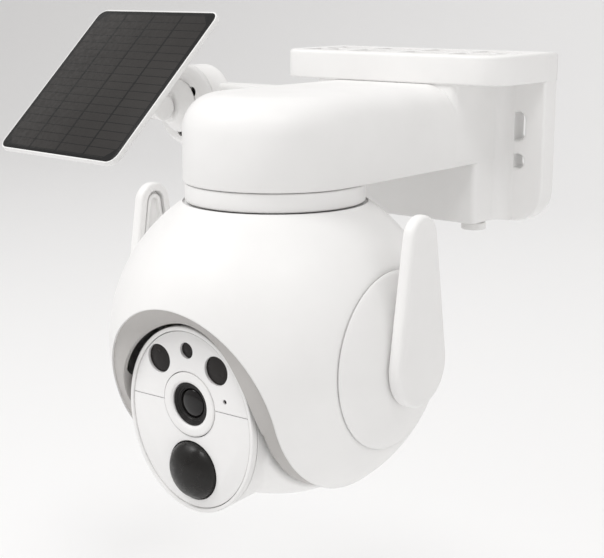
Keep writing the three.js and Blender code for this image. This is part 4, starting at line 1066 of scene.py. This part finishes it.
def panel_tray():
    front, back = -PANEL["standoff"], -PANEL["standoff"] + PANEL["thickness"]
    half = PANEL["size"] / 2
    outline = rounded_rect(half, half, PANEL["corner"], 0, 0, 16)
    seat = half - PANEL["glass"] / 2 - 0.1
    stations = [(seat, front + PANEL["seat"]), (seat, front + 0.15), (seat - 0.1, front), (0.4, front),
                (0.1, front + 0.1), (0, front + 0.4), (0, back - 0.8), (0.2, back - 0.2), (0.8, back)]
    return slab("tray", outline, "y", stations)


def panel_glass():
    half = PANEL["glass"] / 2
    outline = rounded_rect(half, half, PANEL["corner"] - 1.8, 0, 0, 16)
    low = -PANEL["standoff"] - 0.1
    return slab("glass", outline, "y",
                [(0.3, low), (0.08, low + 0.08), (0, low + 0.3), (0, low + PANEL["seat"] - 0.2)])


piece(base_disc(), "mount_disc", "bracket", SOLAR_AT, WHITE, ["solar_base_disc"])
for number, (screw_x, screw_z) in enumerate(screw_places(), 1):
    piece(base_screw(screw_x, screw_z), f"mount_screw_{number}", "bracket", SOLAR_AT, DARK_STEEL,
          [f"solar_base_screw_{number}"])
piece(solar_hub(), "mount_hub", "solar_hub", SOLAR_AT, WHITE, ["solar_hub"], sharp=50)
piece(hinge_pin(), "mount_pin", "solar_hub", SOLAR_AT, DARK_STEEL, ["solar_hinge_pin"])
piece(solar_stem(), "stem", "solar_stem", STEM_AT, WHITE, ["solar_stem"], sharp=50)
piece(panel_socket(), "socket", "solar_panel", PANEL_AT, WHITE, ["panel_socket"])
piece(panel_tray(), "tray", "solar_panel", PANEL_AT, WHITE, ["panel_tray"])
piece(panel_glass(), "cells", "solar_panel", PANEL_AT, SOLAR_GLASS,
      ["panel_glass"], own_axes=True)

# ---------------------------------------------------------------- CAD pieces that keep their own shape
KEPT = {
    "pan_bearing": STEEL, "pan_motor": MOTOR, "pan_pinion": NYLON, "pan_gear": NYLON, "pan_neck": NYLON,
    "control_board": BOARD, "chassis": NYLON, "main_board": BOARD, "battery_cell_1": CELL,
    "battery_cell_2": CELL, "battery_cradle": NYLON, "speaker": BLACK, "tilt_motor": MOTOR,
    "tilt_pinion": NYLON, "tilt_gear": NYLON, "tilt_shaft": STEEL, "lamp_board": BOARD,
    "sensor_board": BOARD, "pir_sensor": STEEL,
}


def keep(name, material):
    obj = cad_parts[name]
    obj.data.materials.clear()
    obj.data.materials.append(material)
    obj.data.shade_smooth()
    obj.data.set_sharp_from_angle(angle=math.radians(30))


for kept_name, kept_material in KEPT.items():
    keep(kept_name, kept_material)

# ---------------------------------------------------------------- floor, light and camera


def add_floor():
    """A pale sweep: a floor that turns up far behind into a backdrop."""
    half, front, back, low, bend = 6, -6, 3.2, -0.32, 1.6
    profile = [(front, low), (back - bend, low)]
    profile += [(back - bend + bend * math.sin(a), low + bend * (1 - math.cos(a)))
                for a in (math.pi / 2 * i / 24 for i in range(1, 25))]
    profile.append((back, 6))
    points = [(x, y, z) for y, z in profile for x in (-half, half)]
    faces = [(2 * i, 2 * i + 1, 2 * i + 3, 2 * i + 2) for i in range(len(profile) - 1)]
    floor = mesh_object("floor", [tuple(c / MM for c in p) for p in points], faces)
    floor.data.shade_smooth()
    material, tree, shader = new_material("floor_paper", (0.93, 0.93, 0.93), 0.8)
    bumped(tree, shader, noise(tree, 60, 4), 0.1, 0.0002)
    floor.data.materials.append(material)


def add_area(name, place, target, size, power):
    light = bpy.data.lights.new(name, "AREA")
    light.shape, light.size, light.energy = "DISK", size, power
    obj = bpy.data.objects.new(name, light)
    obj.location = place
    obj.rotation_euler = (Vector(target) - Vector(place)).to_track_quat("-Z", "Y").to_euler()
    bpy.context.scene.collection.objects.link(obj)


def add_world(strength):
    world = bpy.data.worlds.new("studio")
    world.use_nodes = True
    background = world.node_tree.nodes["Background"]
    background.inputs["Color"].default_value = (1, 0.985, 0.975, 1)
    background.inputs["Strength"].default_value = strength
    bpy.context.scene.world = world


def add_camera():
    data = bpy.data.cameras.new("camera")
    data.sensor_width, data.lens = CAMERA["sensor"], CAMERA["lens"]
    obj = bpy.data.objects.new("camera", data)
    obj.location = CAMERA["place"]
    obj.rotation_euler = (math.radians(CAMERA["pitch"]), 0, math.radians(CAMERA["turn"]))
    bpy.context.scene.collection.objects.link(obj)
    bpy.context.scene.camera = obj


CAMERA = {"sensor": 36, "lens": 79.57, "place": (0.33441, -0.53146, 0.06441), "pitch": 77.71, "turn": 38.19}
TARGET = (0, -0.11, -0.04)
BACKDROP = (0, 3.2, 0.4)
LIGHTS = [  # name, place, aim, size, power
    ("key", (-0.9, -1.1, 1.7), TARGET, 0.8, 19),
    ("side", (0.7, -0.95, 1.7), TARGET, 0.6, 8),
    ("low", (1.3, -0.2, 0.1), TARGET, 0.8, 0.8),
    ("backdrop", (0, 0.9, 2.2), BACKDROP, 1.5, 12),
]
add_floor()
for light in LIGHTS:
    add_area(*light)
add_world(0.6)
add_camera()
bpy.context.scene.view_settings.view_transform = "Standard"
